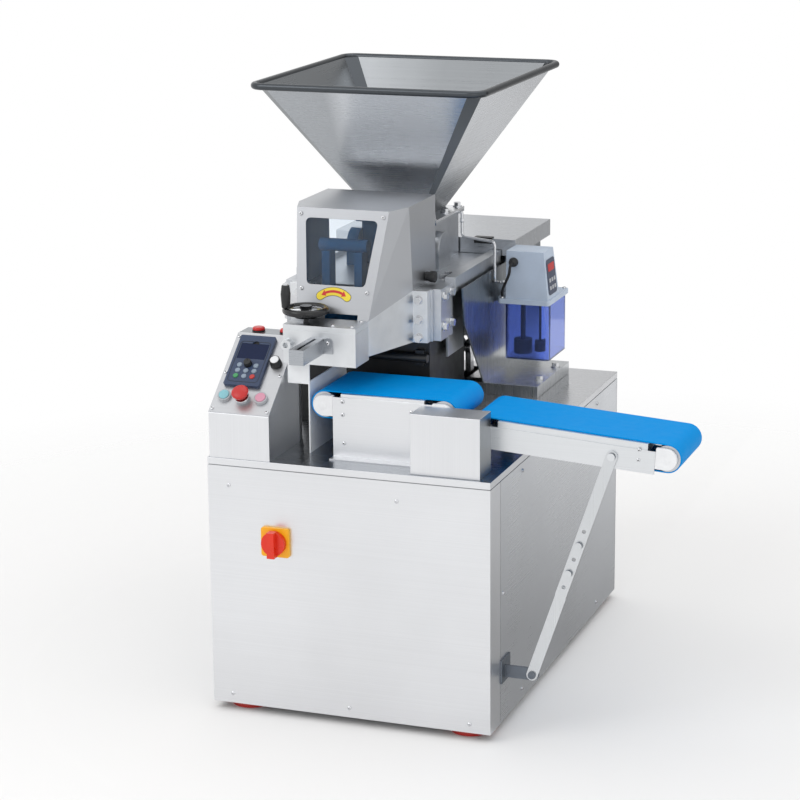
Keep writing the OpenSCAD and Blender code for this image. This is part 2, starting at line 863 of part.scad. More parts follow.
module feet() {
  color("firebrick") placed()
    for (x = [-1, 1], y = [foot_inset, cab_d - foot_inset]) translate([x * (half_w - foot_inset), y, 0]) {
      cylinder(d = pad_d, h = pad_h);
      cylinder(d = neck_d, h = foot_h);
    }
}

module panel_screws() {
  color("whitesmoke") placed() {
    for (p = front_screws) on_front(p) panel_screw();
    for (s = [-1, 1], p = side_screws) on_side(s, p) panel_screw();
    for (p = rear_screws) on_rear(p) panel_screw();
  }
}

// Isolator switch

module isolator_base() {
  body = iso_plate - 12;
  color("gold") placed() on_front([iso_x, iso_z]) difference() {
    union() {
      round_plate(iso_plate, iso_plate, iso_plate_t, 6);
      translate([0, 0, -sheet_t - over]) cylinder(d = iso_neck_d - 2 * run_fit, h = sheet_t + 2 * over);
      translate([-body / 2, -body / 2, -sheet_t - iso_body_d]) cube([body, body, iso_body_d]);
    }
    translate([0, 0, -iso_body_d / 2]) cylinder(d = iso_shaft_d + 2 * run_fit, h = iso_body_d);
  }
}

module isolator_knob() {
  lever_l = iso_knob_d + 4;
  color("red") placed() on_front([iso_x, iso_z]) {
    translate([0, 0, iso_plate_t + slide_gap]) {
      cylinder(d = iso_knob_d, h = iso_knob_h);
      translate([-iso_lever_w / 2, -lever_l / 2, iso_knob_h / 2])
        cube([iso_lever_w, lever_l, iso_knob_h / 2 + iso_lever_h]);
    }
    translate([0, 0, -iso_body_d / 2 + over]) cylinder(d = iso_shaft_d, h = iso_body_d / 2 + iso_plate_t);
  }
}

// Control box

// Side outline of the control box, drawn in by one distance at its sides and another at its slant
function cbox_outline(side, under, low) =
  let (rise = tan(slant), drop = under / cos(slant))
  [[side, low], [side, cbox_front_h + rise * side - drop],
    [(cbox_h - side - cbox_front_h + drop) / rise, cbox_h - side],
    [cbox_d - side, cbox_h - side], [cbox_d - side, low]];

module cbox_body(side, under, low, hw) {
  translate([cbox_x - hw, cbox_set, tray_z]) rotate([90, 0, 90])
    linear_extrude(2 * hw) polygon(cbox_outline(side, under, low));
}

// Half space beside the head casting's left wall, moved out from it by a distance
module casting_side(out) {
  translate([head_x - block_hw, block_back, 0]) rotate([0, 0, atan2(casting_hw - block_hw, casting_l)])
    span([-out, -cbox_d, 0], [cbox_w, cbox_d, 2 * tray_z]);
}

module control_box() {
  seat = cbox_w / 2 - cpanel_seat;
  color("lightgray") placed() difference() {
    cbox_body(0, cpanel_t, 0, cbox_w / 2);
    casting_side(box_gap);
    difference() {
      cbox_body(sheet_t, cpanel_t + sheet_t, -over, cbox_w / 2 - sheet_t);
      casting_side(box_gap + sheet_t);
    }
    on_slant([0, 0]) span([-seat, cpanel_seat, -3 * cpanel_t - sheet_t], [seat, slant_l - cpanel_seat, over]);
    for (p = lamp_spots) translate([p[0], p[1], tray_z + cbox_h - sheet_t - over])
      cylinder(d = lamp_d / 2 + 2 * run_fit, h = sheet_t + 2 * over);
  }
}

module control_panel() {
  color("gainsboro") placed() difference() {
    on_slant([0, 0]) span([-cbox_w / 2, 0, -cpanel_t], [cbox_w / 2, slant_l, 0]);
    for (p = button_spots) on_slant(p) translate([0, 0, -cpanel_t - over])
      cylinder(d = barrel_d + 2 * run_fit, h = cpanel_t + 2 * over);
    on_slant([speed_right, speed_up]) translate([0, 0, -cpanel_t - over])
      cylinder(d = pot_d + 4 + 2 * run_fit, h = cpanel_t + 2 * over);
  }
}

// Frame of the keypad: its middle on the slanted panel
module on_keypad() {
  on_slant([-key_left, key_up]) children();
}

module keypad_bezel() {
  screen = [66, 42];
  color("darkslategray") placed() on_keypad() difference() {
    round_plate(key_w, key_l, key_t, 4);
    translate([-key_w / 2 + 6, -key_l / 2 + 6, -over])
      cube([key_w - 12, 2 * key_pitch_v + key_d + 20, mat_t + slide_gap + over]);
    translate([-screen[0] / 2, 4, key_t - 1.5]) cube([screen[0], screen[1], 1.5 + over]);
    translate([0, 4 + screen[1], key_t - 4]) cylinder(d = 16, h = 4 + over);
    for (p = key_spots) translate([p[0], p[1], -over]) cylinder(d = key_d + 2 * slide_gap, h = key_t + 2 * over);
    translate([dial_spot[0], dial_spot[1], mat_t]) cylinder(d = pot_d + 2 * run_fit, h = key_t + over);
  }
}

module key_mat() {
  color("lightslategray") placed() on_keypad() {
    difference() {
      translate([-key_w / 2 + 7, -key_l / 2 + 7, 0]) cube([key_w - 14, 2 * key_pitch_v + key_d + 18, mat_t]);
      translate([dial_spot[0], dial_spot[1], -over]) cylinder(d = pot_d + 3, h = mat_t + 2 * over);
    }
    for (p = key_spots) translate([p[0], p[1], mat_t - 0.1]) {
      cylinder(d = key_d, h = key_t + key_proud - mat_t - 0.9);
      cylinder(d = key_d - 2, h = key_t + key_proud - mat_t);
    }
  }
}

module keypad_dial() {
  color("black") placed() on_keypad() translate([dial_spot[0], dial_spot[1], 0]) {
    translate([0, 0, mat_t + 1]) cylinder(d = pot_d, h = key_t);
    difference() {
      translate([0, 0, key_t + slide_gap]) cylinder(d1 = dial_d, d2 = dial_d - 3, h = dial_h);
      translate([-0.8, 0, key_t + slide_gap + dial_h - 1]) cube([1.6, dial_d, 2]);
    }
  }
}

// Cap of a push button: top at the collar's rim plus the travel, stem in the barrel
module push_cap(spot) {
  on_slant(spot) {
    translate([0, 0, collar_h - button_travel + 1.5]) cylinder(d = button_d, h = button_travel + 1);
    translate([0, 0, -barrel_l + button_travel + 2])
      cylinder(d = stem_d, h = barrel_l + collar_h - button_travel);
  }
}

module start_button() {
  color("lightblue") placed() push_cap(button_spots[0]);
}

module stop_button() {
  color("lightpink") placed() push_cap(button_spots[2]);
}

module estop_button() {
  head_z = collar_h + estop_travel + 2;
  color("red") placed() on_slant(button_spots[1]) {
    translate([0, 0, head_z]) {
      cylinder(d1 = estop_d - 8, d2 = estop_d, h = 8);
      translate([0, 0, 8]) cylinder(d = estop_d, h = 3);
      translate([0, 0, 11]) cylinder(d1 = estop_d, d2 = estop_d - 8, h = 3);
    }
    translate([0, 0, -barrel_l + estop_travel + 2]) cylinder(d = stem_d, h = barrel_l + head_z - estop_travel);
  }
}

module button_bodies() {
  color("dimgray") placed() {
    for (p = button_spots) on_slant(p) difference() {
      union() {
        cylinder(d = collar_d, h = collar_h);
        translate([0, 0, -barrel_l]) cylinder(d = barrel_d, h = barrel_l + over);
        translate([-collar_d / 2 + 1, -collar_d / 2 + 1, -barrel_l - block_l])
          cube([collar_d - 2, collar_d - 2, block_l + over]);
      }
      translate([0, 0, 1]) cylinder(d = button_d + 2 * slide_gap, h = collar_h);
      translate([0, 0, -barrel_l]) cylinder(d = stem_d + 2 * run_fit, h = barrel_l + collar_h);
    }
    on_slant([speed_right, speed_up]) difference() {
      union() {
        translate([0, 0, -cpanel_t]) cylinder(d = pot_d + 4, h = cpanel_t + 2);
        translate([0, 0, -cpanel_t - 18]) cylinder(d = speed_d - 3, h = 18);
      }
      translate([0, 0, -cpanel_t - 12]) cylinder(d = pot_d + 2 * run_fit, h = cpanel_t + 15);
    }
    for (p = lamp_spots) translate([p[0], p[1], tray_z + cbox_h]) {
      cylinder(d = lamp_d, h = 3);
      translate([0, 0, -sheet_t - 16]) cylinder(d = lamp_d / 2, h = 16 + sheet_t + over);
    }
  }
}

module speed_knob() {
  color("black") placed() on_slant([speed_right, speed_up]) {
    translate([0, 0, -cpanel_t - 10]) cylinder(d = pot_d, h = 14 + cpanel_t);
    difference() {
      translate([0, 0, 2 + slide_gap]) cylinder(d1 = speed_d, d2 = speed_d - 4, h = speed_h);
      translate([-0.8, speed_d / 2 - 6, speed_h - 3]) cube([1.6, 6, 6]);
    }
  }
}

module signal_lamps() {
  color("crimson") placed() for (p = lamp_spots) translate([p[0], p[1], tray_z + cbox_h + 3]) {
    cylinder(d = lamp_d - 1, h = lamp_h - 3);
    translate([0, 0, lamp_h - 3]) cylinder(d1 = lamp_d - 1, d2 = lamp_d - 6, h = 3);
  }
}

// Infeed conveyor

module infeed_frame() {
  x0 = in_x0 + cap_reach;
  x1 = in_x1 - cap_reach;
  side_top = tray_z + in_side_h;
  color("lightgray") placed() {
    for (y = [conv_y, conv_back - side_t]) span([x0, y, tray_z], [x1, y + side_t, side_top]);
    span([x0, conv_y - in_foot_w, tray_z], [dcov_x - 1, conv_y, tray_z + side_t]);
    span([x0, conv_back, tray_z], [x1, conv_back + in_foot_w, tray_z + side_t]);
    span([in_x0 + belt_r + 10, conv_y + side_t, in_z + roller_r - bed_t],
      [in_x1 - belt_r - 10, conv_back - side_t, in_z + roller_r]);
    for (x = [x0 + 40, x1 - 40]) rod_y([x, conv_y + side_t, tray_z + 40], 14, conv_back - conv_y - 2 * side_t);
  }
}

module infeed_end_caps() {
  color("white") placed() on_infeed() four_caps(in_l);
}

module infeed_belt() {
  color("dodgerblue") placed() translate([in_x0, belt_y, in_z]) loop(in_l, belt_r, belt_t, belt_w);
}

module infeed_drive_roller() {
  color("silver") placed() translate([in_x1, conv_y, in_z]) {
    roller(conv_y - chain_b_y + 2);
    for (y = [chain_a_y, chain_b_y]) chain_wheel(y - conv_y);
  }
}

module infeed_idler_roller() {
  color("silver") placed() on_infeed() roller(-1);
}

// Conveyor drive

module drive_cover() {
  color("lightgray") placed() difference() {
    span([dcov_x, dcov_y, tray_z], [dcov_x + dcov_w, conv_y, tray_z + dcov_h]);
    span([dcov_x + sheet_t, dcov_y + sheet_t, tray_z - over],
      [dcov_x + dcov_w - sheet_t, conv_y + over, tray_z + dcov_h - sheet_t]);
  }
}

// Chain around two wheels of the same size
module chain(from, to, y) {
  step = to - from;
  translate([from[0], y, from[1]]) rotate([0, -atan2(step[1], step[0]), 0])
    loop(norm(step), wheel_r + slide_gap + chain_t, chain_t, chain_w);
}

module conveyor_motor() {
  body_y = dcov_y + sheet_t + 2;
  body_l = chain_a_y - body_y - chain_gap - 2;
  color("dimgray") placed() {
    difference() {
      union() {
        rod_y([motor_x, body_y, motor_z], 2 * motor_r, body_l);
        span([motor_x - motor_r, body_y, tray_z], [motor_x + motor_r, body_y + body_l, motor_z]);
      }
      rod_y([motor_x, body_y + body_l / 2, motor_z], axle_d + 2 * run_fit, body_l);
    }
    chain([in_x1, in_z], [motor_x, motor_z], chain_a_y);
    chain([in_x1, in_z], [out_x, out_z], chain_b_y);
  }
}

module motor_sprocket() {
  shaft_y = dcov_y + sheet_t + 20;
  color("silver") placed() {
    translate([motor_x, 0, motor_z]) chain_wheel(chain_a_y);
    rod_y([motor_x, shaft_y + 4, motor_z], axle_d, chain_a_y - shaft_y - 4 + chain_w);
  }
}

// Outfeed conveyor

module outfeed_frame() {
  inner = conv_back - conv_y;
  color("lightgray") placed() {
    on_outfeed() {
      for (y = [0, inner - side_t])
        span([cap_reach, y, rail_up - rail_h], [out_l - cap_reach, y + side_t, rail_up]);
      span([belt_r + 10, side_t, rail_up - 1.5], [out_l - belt_r - 10, inner - side_t, roller_r]);
      for (x = [cap_reach + tongue_l + 12, out_l - cap_reach - tongue_l - 12])
        rod_y([x, side_t, -roller_r + 12], 14, inner - 2 * side_t);
    }
    translate([top_pin[0], 0, top_pin[1]]) {
      rod_y([0, upper_y - slide_gap, 0], pin_d, conv_y - upper_y + slide_gap + 1);
      rod_y([0, upper_y - slide_gap - 4, 0], pin_d + 7, 4);
    }
  }
}

module outfeed_end_caps() {
  color("white") placed() on_outfeed() four_caps(out_l);
}

module outfeed_belt() {
  color("dodgerblue") placed() on_outfeed() translate([0, belt_y - conv_y, 0]) loop(out_l, belt_r, belt_t, belt_w);
}

module outfeed_drive_roller() {
  color("silver") placed() on_outfeed() {
    roller(conv_y - chain_b_y + 2);
    rod_y([0, conv_back - conv_y, 0], axle_d, bracket_t + 3);
    chain_wheel(chain_b_y - conv_y);
  }
}

module outfeed_tail_roller() {
  color("silver") placed() on_outfeed() translate([out_l, 0, 0]) roller(-1);
}

// Upright plate that carries one end of the outfeed's inner shaft
module pivot_plate() {
  difference() {
    union() {
      rod_y([0, 0, out_z - tray_z], bracket_w, bracket_t);
      span([-bracket_w / 2, 0, 0], [bracket_w / 2, bracket_t, out_z - tray_z]);
      span([-bracket_w / 2, -8, 0], [bracket_w / 2, bracket_t, 4]);
    }
    rod_y([0, -over, out_z - tray_z], axle_d + 2 * run_fit, bracket_t + 2 * over);
  }
}

module outfeed_brackets() {
  color("silver") placed() {
    translate([out_x, conv_y - slide_gap - bracket_t, tray_z]) pivot_plate();
    translate([out_x, conv_back + slide_gap + bracket_t, tray_z]) mirror([0, 1, 0]) pivot_plate();
    ear_y = lower_y + bar_t + slide_gap;
    span([half_w, ear_y - 20, foot_pin[1] - 24], [half_w + 4, ear_y + 40, foot_pin[1] + 30]);
    span([half_w, ear_y, foot_pin[1] - 14], [foot_pin[0], ear_y + 5, foot_pin[1] + 14]);
    rod_y([foot_pin[0], ear_y, foot_pin[1]], 28, 5);
    rod_y([foot_pin[0], lower_y - slide_gap, foot_pin[1]], pin_d, bar_t + 3 * slide_gap + 1);
    rod_y([foot_pin[0], lower_y - slide_gap - 4, foot_pin[1]], pin_d + 7, 4);
  }
}

module strut_lower() {
  slot_from = clamp_near - clamp_travel;
  slot_to = clamp_far + clamp_travel;
  color("silver") placed() on_strut() translate([0, lower_y, 0]) difference() {
    round_bar(lower_l, bar_w, bar_t);
    rod_y([0, -over, 0], pin_d + 2 * run_fit, bar_t + 2 * over);
    translate([slot_from, -over, 0]) round_bar(slot_to - slot_from, hole_d + slot_play, bar_t + 2 * over);
  }
}

module strut_upper() {
  holes = [for (i = [0:hole_n - 1]) strut_l - hole_first - i * hole_pitch];
  color("lightgray") placed() on_strut() translate([0, upper_y, 0]) {
    difference() {
      translate([strut_l - upper_l, 0, 0]) round_bar(upper_l, bar_w, bar_t);
      rod_y([strut_l, -over, 0], pin_d + 2 * run_fit, bar_t + 2 * over);
      for (x = holes) rod_y([x, -over, 0], hole_d, bar_t + 2 * over);
    }
    for (x = [clamp_near, clamp_far]) {
      rod_y([x, -6, 0], hole_d + 7, 6);
      rod_y([x, -1, 0], hole_d, 2 * bar_t + 2 * slide_gap + 6);
      rod_y([x, 2 * bar_t + 2 * slide_gap, 0], hole_d + 7, 5);
    }
  }
}

// Measuring head

module head_block() {
  cavity_z = scale_z - pinion_h / 2 - 2;
  channel = scale_bore / 2;
  color("gainsboro") placed() difference() {
    union() {
      span([head_x - block_hw, block_y, block_z], [head_x + block_hw, block_back, block_top]);
      rod_y([head_x - block_hw + 13.5, block_y - 20, scale_z], 24, 21);
    }
    rod_y([head_x - block_hw + 13.5, block_y - 20 - over, scale_z], 13, 12, $fn = 6);
    span([scale_x - channel, block_y - over, scale_z - channel],
      [scale_x + channel, block_back + over, scale_z + channel]);
    rod_z([wheel_x, wheel_y, cavity_z], hshaft_d + 2 * run_fit, block_top - cavity_z + over);
    rod_z([wheel_x, wheel_y, cavity_z], 2 * pinion_r + 2, pinion_h + 4);
    difference() {
      span([head_x - block_hw - over, block_y - over, block_top - 12],
        [head_x + block_hw + over, block_back, block_top - 11]);
      span([head_x - block_hw + 0.8, block_y + 0.8, block_top - 13],
        [head_x + block_hw - 0.8, block_back + over, block_top]);
    }
  }
}

module scale_tube() {
  front = block_y - scale_l;
  color("silver") placed() translate([scale_x, 0, scale_z]) difference() {
    union() {
      span([-scale_s / 2, front, -scale_s / 2], [scale_s / 2, block_y, scale_s / 2]);
      span([scale_s / 2 - over, block_y - 4, -scale_s / 2], [scale_s / 2 + 20, block_y, scale_s / 4]);
      rod_y([scale_s / 2 + 10, block_y - 4, scale_s / 4], 20, 4);
    }
    span([-scale_bore / 2, front + scale_wall, -scale_bore / 2], [scale_bore / 2, block_y + over, scale_bore / 2]);
    span([-slot_w / 2, front + 6, 0], [slot_w / 2, block_y - 10, scale_s]);
  }
}

module stop_bar() {
  color("dimgray") placed() translate([scale_x, 0, scale_z]) difference() {
    span([-bar_s / 2, bar_front, -bar_s / 2], [bar_s / 2, bar_back, bar_s / 2]);
    for (y = [bar_front + 6:6:bar_back - 6]) span([-bar_s, y, -pinion_h / 2], [2 - bar_s / 2, y + 2, pinion_h / 2]);
  }
}

module handwheel() {
  color("black") placed() translate([wheel_x, wheel_y, 0]) {
    translate([0, 0, hwheel_z]) {
      rotate_extrude() translate([rim_r, 0]) circle(d = rim_d);
      for (a = [0, 120, 240]) rotate([0, 0, grip_turn + a]) rod_x([0, 0, 0], 8, rim_r);
      translate([0, 0, -rim_d]) cylinder(d1 = hwheel_d / 2, d2 = 2 * rim_r, h = rim_d);
      translate([0, 0, -over]) cylinder(d = 26, h = 11);
      rotate([0, 0, grip_turn]) translate([rim_r, 0, 0]) {
        cylinder(d = 8, h = rim_d / 2 + grip_l + 2);
        translate([0, 0, rim_d / 2 + slide_gap * 2 + grip_l]) cylinder(d = 12, h = 3);
      }
    }
    rod_z([0, 0, scale_z - pinion_h / 2], 2 * pinion_r, pinion_h);
    rod_z([0, 0, scale_z], hshaft_d, hwheel_z - scale_z);
  }
}

module handwheel_grip() {
  color("black") placed() translate([wheel_x, wheel_y, hwheel_z]) rotate([0, 0, grip_turn])
    translate([rim_r, 0, rim_d / 2 + slide_gap]) difference() {
      union() {
        cylinder(d1 = grip_d - 4, d2 = grip_d, h = grip_l * 0.6);
        translate([0, 0, grip_l * 0.6]) cylinder(d1 = grip_d, d2 = grip_d - 5, h = grip_l * 0.4);
      }
      translate([0, 0, -over]) cylinder(d = 8 + 2 * run_fit, h = grip_l + 2 * over);
    }
}

// Hood: corners of one side, drawn in by the wall, from front to back
function hood_side(wall, s) =
  let (front = block_back + wall / cos(hood_angle), back = block_back + hood_d + (wall > 0 ? over : 0),
    low = wall > 0 ? -over : 0, top = hood_top - wall, lean = tan(hood_angle))
  [[s * (hood_front_hw - wall), front + lean * (hood_h - wall), top],
    [s * (casting_hw - wall), block_back + hood_fold, top],
    [s * (casting_hw - wall), back, top], [s * (block_hw - wall), front + lean * low, block_top + low],
    [s * (casting_hw - wall), casting_y, chamber_top + low], [s * (casting_hw - wall), back, chamber_top + low]];

module hood_solid(wall) {
  r = 0;
  l = 6;
  translate([head_x, 0, 0]) polyhedron(
    points = concat(hood_side(wall, 1), hood_side(wall, -1)),
    faces = [[l, l + 1, l + 2, r + 2, r + 1, r], [r + 3, r + 4, l + 4, l + 3], [r + 4, r + 5, l + 5, l + 4],
      [l + 3, l, r, r + 3], [r + 5, r + 2, l + 2, l + 5], [r + 4, r + 1, r + 2, r + 5], [l + 5, l + 2, l + 1, l + 4],
      [r + 3, r, r + 1], [r + 3, r + 1, r + 4], [l + 4, l + 1, l + 3], [l + 1, l, l + 3]]);
}

// Window outline on the hood's front, widened by a lap
module window_outline(lap) {
  flare = (hood_front_hw - block_hw) / hood_slope_l;
  low = win_low - lap;
  high = win_low + win_h + lap;
  function half(v) = block_hw + flare * v - win_side + lap;
  function corner(x, y, from) = [for (a = [from:15:from + 90]) [x + win_r * cos(a), y + win_r * sin(a)]];
  polygon(concat(corner(win_r - half(low), low + win_r, 180), corner(half(low) - win_r, low + win_r, 270),
    corner(half(high) - win_r, high - win_r, 0), corner(win_r - half(high), high - win_r, 90)));
}

module hood() {
  color("lightgray") placed() difference() {
    hood_solid(0);
    hood_solid(sheet_t);
    on_hood() translate([0, 0, -sheet_t - over]) linear_extrude(sheet_t + 2 * over) window_outline(0);
    span([head_x - 18, block_back - over, block_top - over], [head_x + 58, block_back + 12, block_top + 11]);
  }
}

module hood_window() {
  color("steelblue", 0.5) placed() on_hood()
    translate([0, 0, -sheet_t - slide_gap - win_t]) linear_extrude(win_t) window_outline(win_lap);
}

// Corners of the casting's bottom or top, drawn in by its wall
function casting_loop(wall, out, z0, z1) =
  let (flare = (casting_hw - block_hw) / casting_l, y0 = block_back - out, y1 = casting_y + out)
  [[-block_hw + wall + flare * out, y0, z0], [block_hw - wall - flare * out, y0, z0],
    [casting_hw - wall + flare * out, y1, z1], [-casting_hw + wall - flare * out, y1, z1]];

module head_casting() {
  spout_hw = block_hw - 24;
  color("whitesmoke") placed() difference() {
    union() {
      difference() {
        union() {
          translate([head_x, 0, 0])
            loft(casting_loop(0, 0, chamber_z, chamber_z), casting_loop(0, 0, block_top, chamber_top));
          head_sides() span([casting_hw - 20, casting_y, chamber_z], [casting_hw + ear_w, chamber_y, chamber_top]);
          span([head_x - casting_hw, casting_y, chamber_z], [head_x + casting_hw, chamber_y, channel_z]);
        }
        translate([head_x, 0, chamber_z + casting_t])
          loft(casting_loop(casting_t, over, 0, 0), casting_loop(casting_t, over, 2 * chamber_h, 2 * chamber_h));
        span([head_x - channel_hw, casting_y - over, channel_z],
          [head_x + channel_hw, chamber_y + over, chamber_top + over]);
        span([head_x - spout_hw, drum_y - drum_d / 2, chamber_z - over],
          [head_x + spout_hw, drum_y + drum_d / 2, chamber_z + casting_t + over]);
      }
      head_sides() span([drum_hw + 3, drum_y - 16, chamber_z + over], [drum_end + 1, drum_y + 16, drum_z + 16]);
    }
    rod_x([head_x - drum_end, drum_y, drum_z], drum_pin_d + 2 * run_fit, 2 * drum_end);
  }
}

// Measuring drum with its arched lever under the hood
module measuring_drum() {
  leg = 18;
  arch_r = drum_hw - 44;
  arch_z = drum_z + 168;
  color("slategray") placed() translate([head_x, drum_y, 0]) {
    rod_x([-drum_hw, 0, drum_z], drum_d, 2 * drum_hw);
    rod_x([1 - drum_end, 0, drum_z], drum_pin_d, 2 * drum_end - 2);
    for (s = [-1, 1]) span([s * arch_r - leg / 2, -leg, drum_z], [s * arch_r + leg / 2, leg, arch_z]);
    rod_x([-arch_r - leg, 0, arch_z + 12], 28, 2 * arch_r + 2 * leg);
  }
}

// Dough chamber with its side blocks, side bars, skirts and throat
module chamber() {
  color("darkgray") placed() difference() {
    union() {
      span([head_x - chamber_hw, chamber_y, chamber_z], [head_x + chamber_hw, chamber_back, chamber_top]);
      head_sides() {
        span([chamber_hw - over, lug_y, chamber_z], [chamber_hw + lug_w, lug_y + lug_l, chamber_top]);
        span([chamber_hw - over, lug_y + lug_l - over, chamber_top + sbar_up - sbar_h],
          [sbar_hw, chamber_back, chamber_top + sbar_up]);
        span([chamber_hw - over, lug_y + lug_l + 4, chamber_z - 56],
          [chamber_hw + 4, lug_y + lug_l + 116, chamber_z + 18]);
      }
      head_sides() translate([throat_hw - over, throat_y - throat_hd + 6, chamber_top]) {
        rod_x([0, 0, boss_r], 2 * boss_r, boss_l);
        span([0, -boss_r, -over], [boss_l, boss_r, boss_r]);
      }
      translate([head_x, throat_y, 0]) {
        span([-throat_hw, -throat_hd, chamber_top - over], [throat_hw, throat_hd, throat_top]);
        span([-throat_hw - neck_rim, -throat_hd - neck_rim, throat_top],
          [throat_hw + neck_rim, throat_hd + neck_rim, hopper_z]);
      }
    }
    span([head_x - channel_hw, chamber_y - over, channel_z],
      [head_x + channel_hw, chamber_back + over, channel_z + channel_h]);
    translate([head_x, throat_y, 0]) span([throat_wall - throat_hw, throat_wall - throat_hd, channel_z + over],
      [throat_hw - throat_wall, throat_hd - throat_wall, hopper_z + over]);
  }
}

module ram() {
  tail_end = pin_y + lug_hw;
  slot_hw = drive_pin_d / 2 + 4;
  slot_z = pin_z - drive_pin_d / 2 - 2;
  color("lightgray") placed() difference() {
    union() {
      span([head_x - channel_hw + slide_gap, ram_front, ram_z],
        [head_x + channel_hw - slide_gap, ram_front + ram_block, ram_z + ram_h]);
      span([head_x - tail_hw, ram_front + ram_block - over, ram_z], [head_x + tail_hw, tail_end, ram_z + ram_h]);
      span([head_x - tail_hw, pin_y - lug_hw, slot_z - 12], [head_x + tail_hw, tail_end, ram_z + over]);
    }
    span([head_x - tail_hw - over, pin_y - slot_hw, slot_z],
      [head_x + tail_hw + over, pin_y + slot_hw, rocker_z + rocker_arm + drive_pin_d / 2 + 2]);
  }
}

// Hopper with beveled corners, a flange and a rolled rim

module hopper_shell(wall, extra) {
  rise = mouth_z - hopper_z;
  dw = (hopper_side - outlet_hw) / rise * extra;
  dd = (hopper_end - outlet_hd) / rise * extra;
  mid = [head_x, throat_y];
  loft(bevel_loop(mid, outlet_hw - wall - dw, outlet_hd - wall - dd, bevel_low, hopper_z - extra),
    bevel_loop(mid, hopper_side - wall + dw, hopper_end - wall + dd, bevel_top, mouth_z + extra));
}

module rolled_rim() {
  corner = bevel_top + roll_mid;
  hw = hopper_side + roll_mid;
  hd = hopper_end + roll_mid;
  translate([head_x, throat_y, mouth_z]) {
    for (s = [-1, 1]) {
      rod_x([corner - hw, s * hd, 0], roll_d, 2 * (hw - corner));
      rod_y([s * hw, corner - hd, 0], roll_d, 2 * (hd - corner));
    }
    for (x = [0, 1], y = [0, 1]) mirror([x, 0, 0]) mirror([0, y, 0])
      translate([hw - corner, hd - corner, 0])
        rotate_extrude(angle = 90) translate([corner, 0]) circle(d = roll_d);
  }
}

module hopper() {
  color("silver") placed() {
    difference() {
      union() {
        hopper_shell(0, 0);
        translate([head_x, throat_y, hopper_z]) span([-throat_hw - neck_rim, -throat_hd - neck_rim, 0],
          [throat_hw + neck_rim, throat_hd + neck_rim, neck_t]);
      }
      hopper_shell(hopper_t, over);
    }
    rolled_rim();
  }
}

// Rear housing

module side_plate() {
  knee = chamber_z + 13;
  translate([plate_hw, 0, 0]) rotate([90, 0, 90]) linear_extrude(plate_t)
    polygon([[plate_y, chamber_z + plate_up], [plate_y + 14, knee], [foot_y, foot_z], [housing_back, foot_z],
      [housing_back, lid_z - plate_t], [lid_y + plate_t, lid_z - plate_t], [lid_y + plate_t, chamber_z + plate_up]]);
}

module rear_housing() {
  left_foot = half_w - 12 - head_left - plate_hw;
  color("lightgray") placed() difference() {
    union() {
      head_sides() side_plate();
      translate([head_x, 0, 0]) {
        span([-plate_hw, housing_back - plate_t, foot_z], [plate_hw, housing_back, lid_z - plate_t]);
        span([plate_hw - 20, foot_y, tray_z], [plate_hw + foot_out, foot_y + foot_len, foot_z]);
        span([plate_hw - 20, foot_y, tray_z], [plate_hw + plate_t, cab_d - 4, foot_z]);
        span([-plate_hw - left_foot, foot_y, tray_z], [20 - plate_hw, cab_d - 4, foot_z]);
        span([-plate_hw, foot_y, tray_z], [plate_hw, foot_y + 40, foot_z]);
        rod_x([-plate_hw - over, rocker_y, rocker_z], rocker_d + 20, bearing_l);
      }
    }
    translate([head_x, 0, 0]) {
      span([plate_hw + plate_t, foot_y - over, tray_z + foot_layer - 0.75],
        [plate_hw + foot_out + over, foot_y + foot_len + over, tray_z + foot_layer + 0.75]);
      rod_x([-plate_hw - plate_t - over, rocker_y, rocker_z], rocker_d + 2 * run_fit,
        plate_t + bearing_l + 2 * over);
    }
  }
}

module housing_lid() {
  hw = plate_hw + lid_over + plate_t;
  sheet = plate_t;
  color("silver") placed() translate([head_x, 0, 0]) difference() {
    span([-hw, lid_y, lid_z - lid_rim], [hw, lid_back_y, lid_z]);
    span([sheet - hw, lid_y + sheet, lid_z - lid_rim - over], [hw - sheet, lid_back_y - sheet, lid_z - sheet]);
  }
}

// Bolts of the head flange, side blocks, throat, housing feet and hood
module hex_bolts() {
  color("silver") placed() {
    head_sides() {
      for (z = [11, 52, 97]) translate([casting_hw + 13, casting_y, chamber_z + z]) rotate([90, 0, 0]) hex_bolt();
      for (y = [18, lug_l - 14], z = [30, 100]) translate([chamber_hw + lug_w, lug_y + y, chamber_z + z])
        rotate([0, 90, 0]) hex_bolt();
      for (y = [120, 156]) translate([chamber_hw - 16, chamber_y + y, chamber_top]) hex_bolt();
      for (y = [-1, 0, 1]) translate([throat_hw - 3, throat_y + y * throat_hd, hopper_z + neck_t]) hex_bolt();
      translate([casting_hw, casting_y + 84, chamber_top + 16]) rotate([0, 90, 0]) {
        cylinder(d = 12, h = 2);
        translate([0, 0, 2]) cylinder(d = 21, h = 18);
      }
    }
    for (y = [66, 200]) translate([head_x + plate_hw + foot_out - 16, foot_y + y, foot_z]) hex_bolt();
  }
}

// Black pedestal under the dough chamber
module pedestal() {
  wall = 10;
  hw = chamber_hw - 12;
  y0 = chamber_y + 14;
  y1 = foot_y - 6;
  color("black") placed() {
    difference() {
      span([head_x - hw, y0, tray_z], [head_x + hw, y1, chamber_z]);
      span([head_x - hw + wall, y0 + wall, tray_z - over], [head_x + hw - wall, y1 - wall, chamber_z + over]);
    }
    rod_x([head_x - hw, y0 - 14, chamber_z - 40], 20, 2 * hw);
    head_sides() span([hw - 30, y0 - 14, chamber_z - 58], [hw - 10, y0 + over, chamber_z - 22]);
  }
}

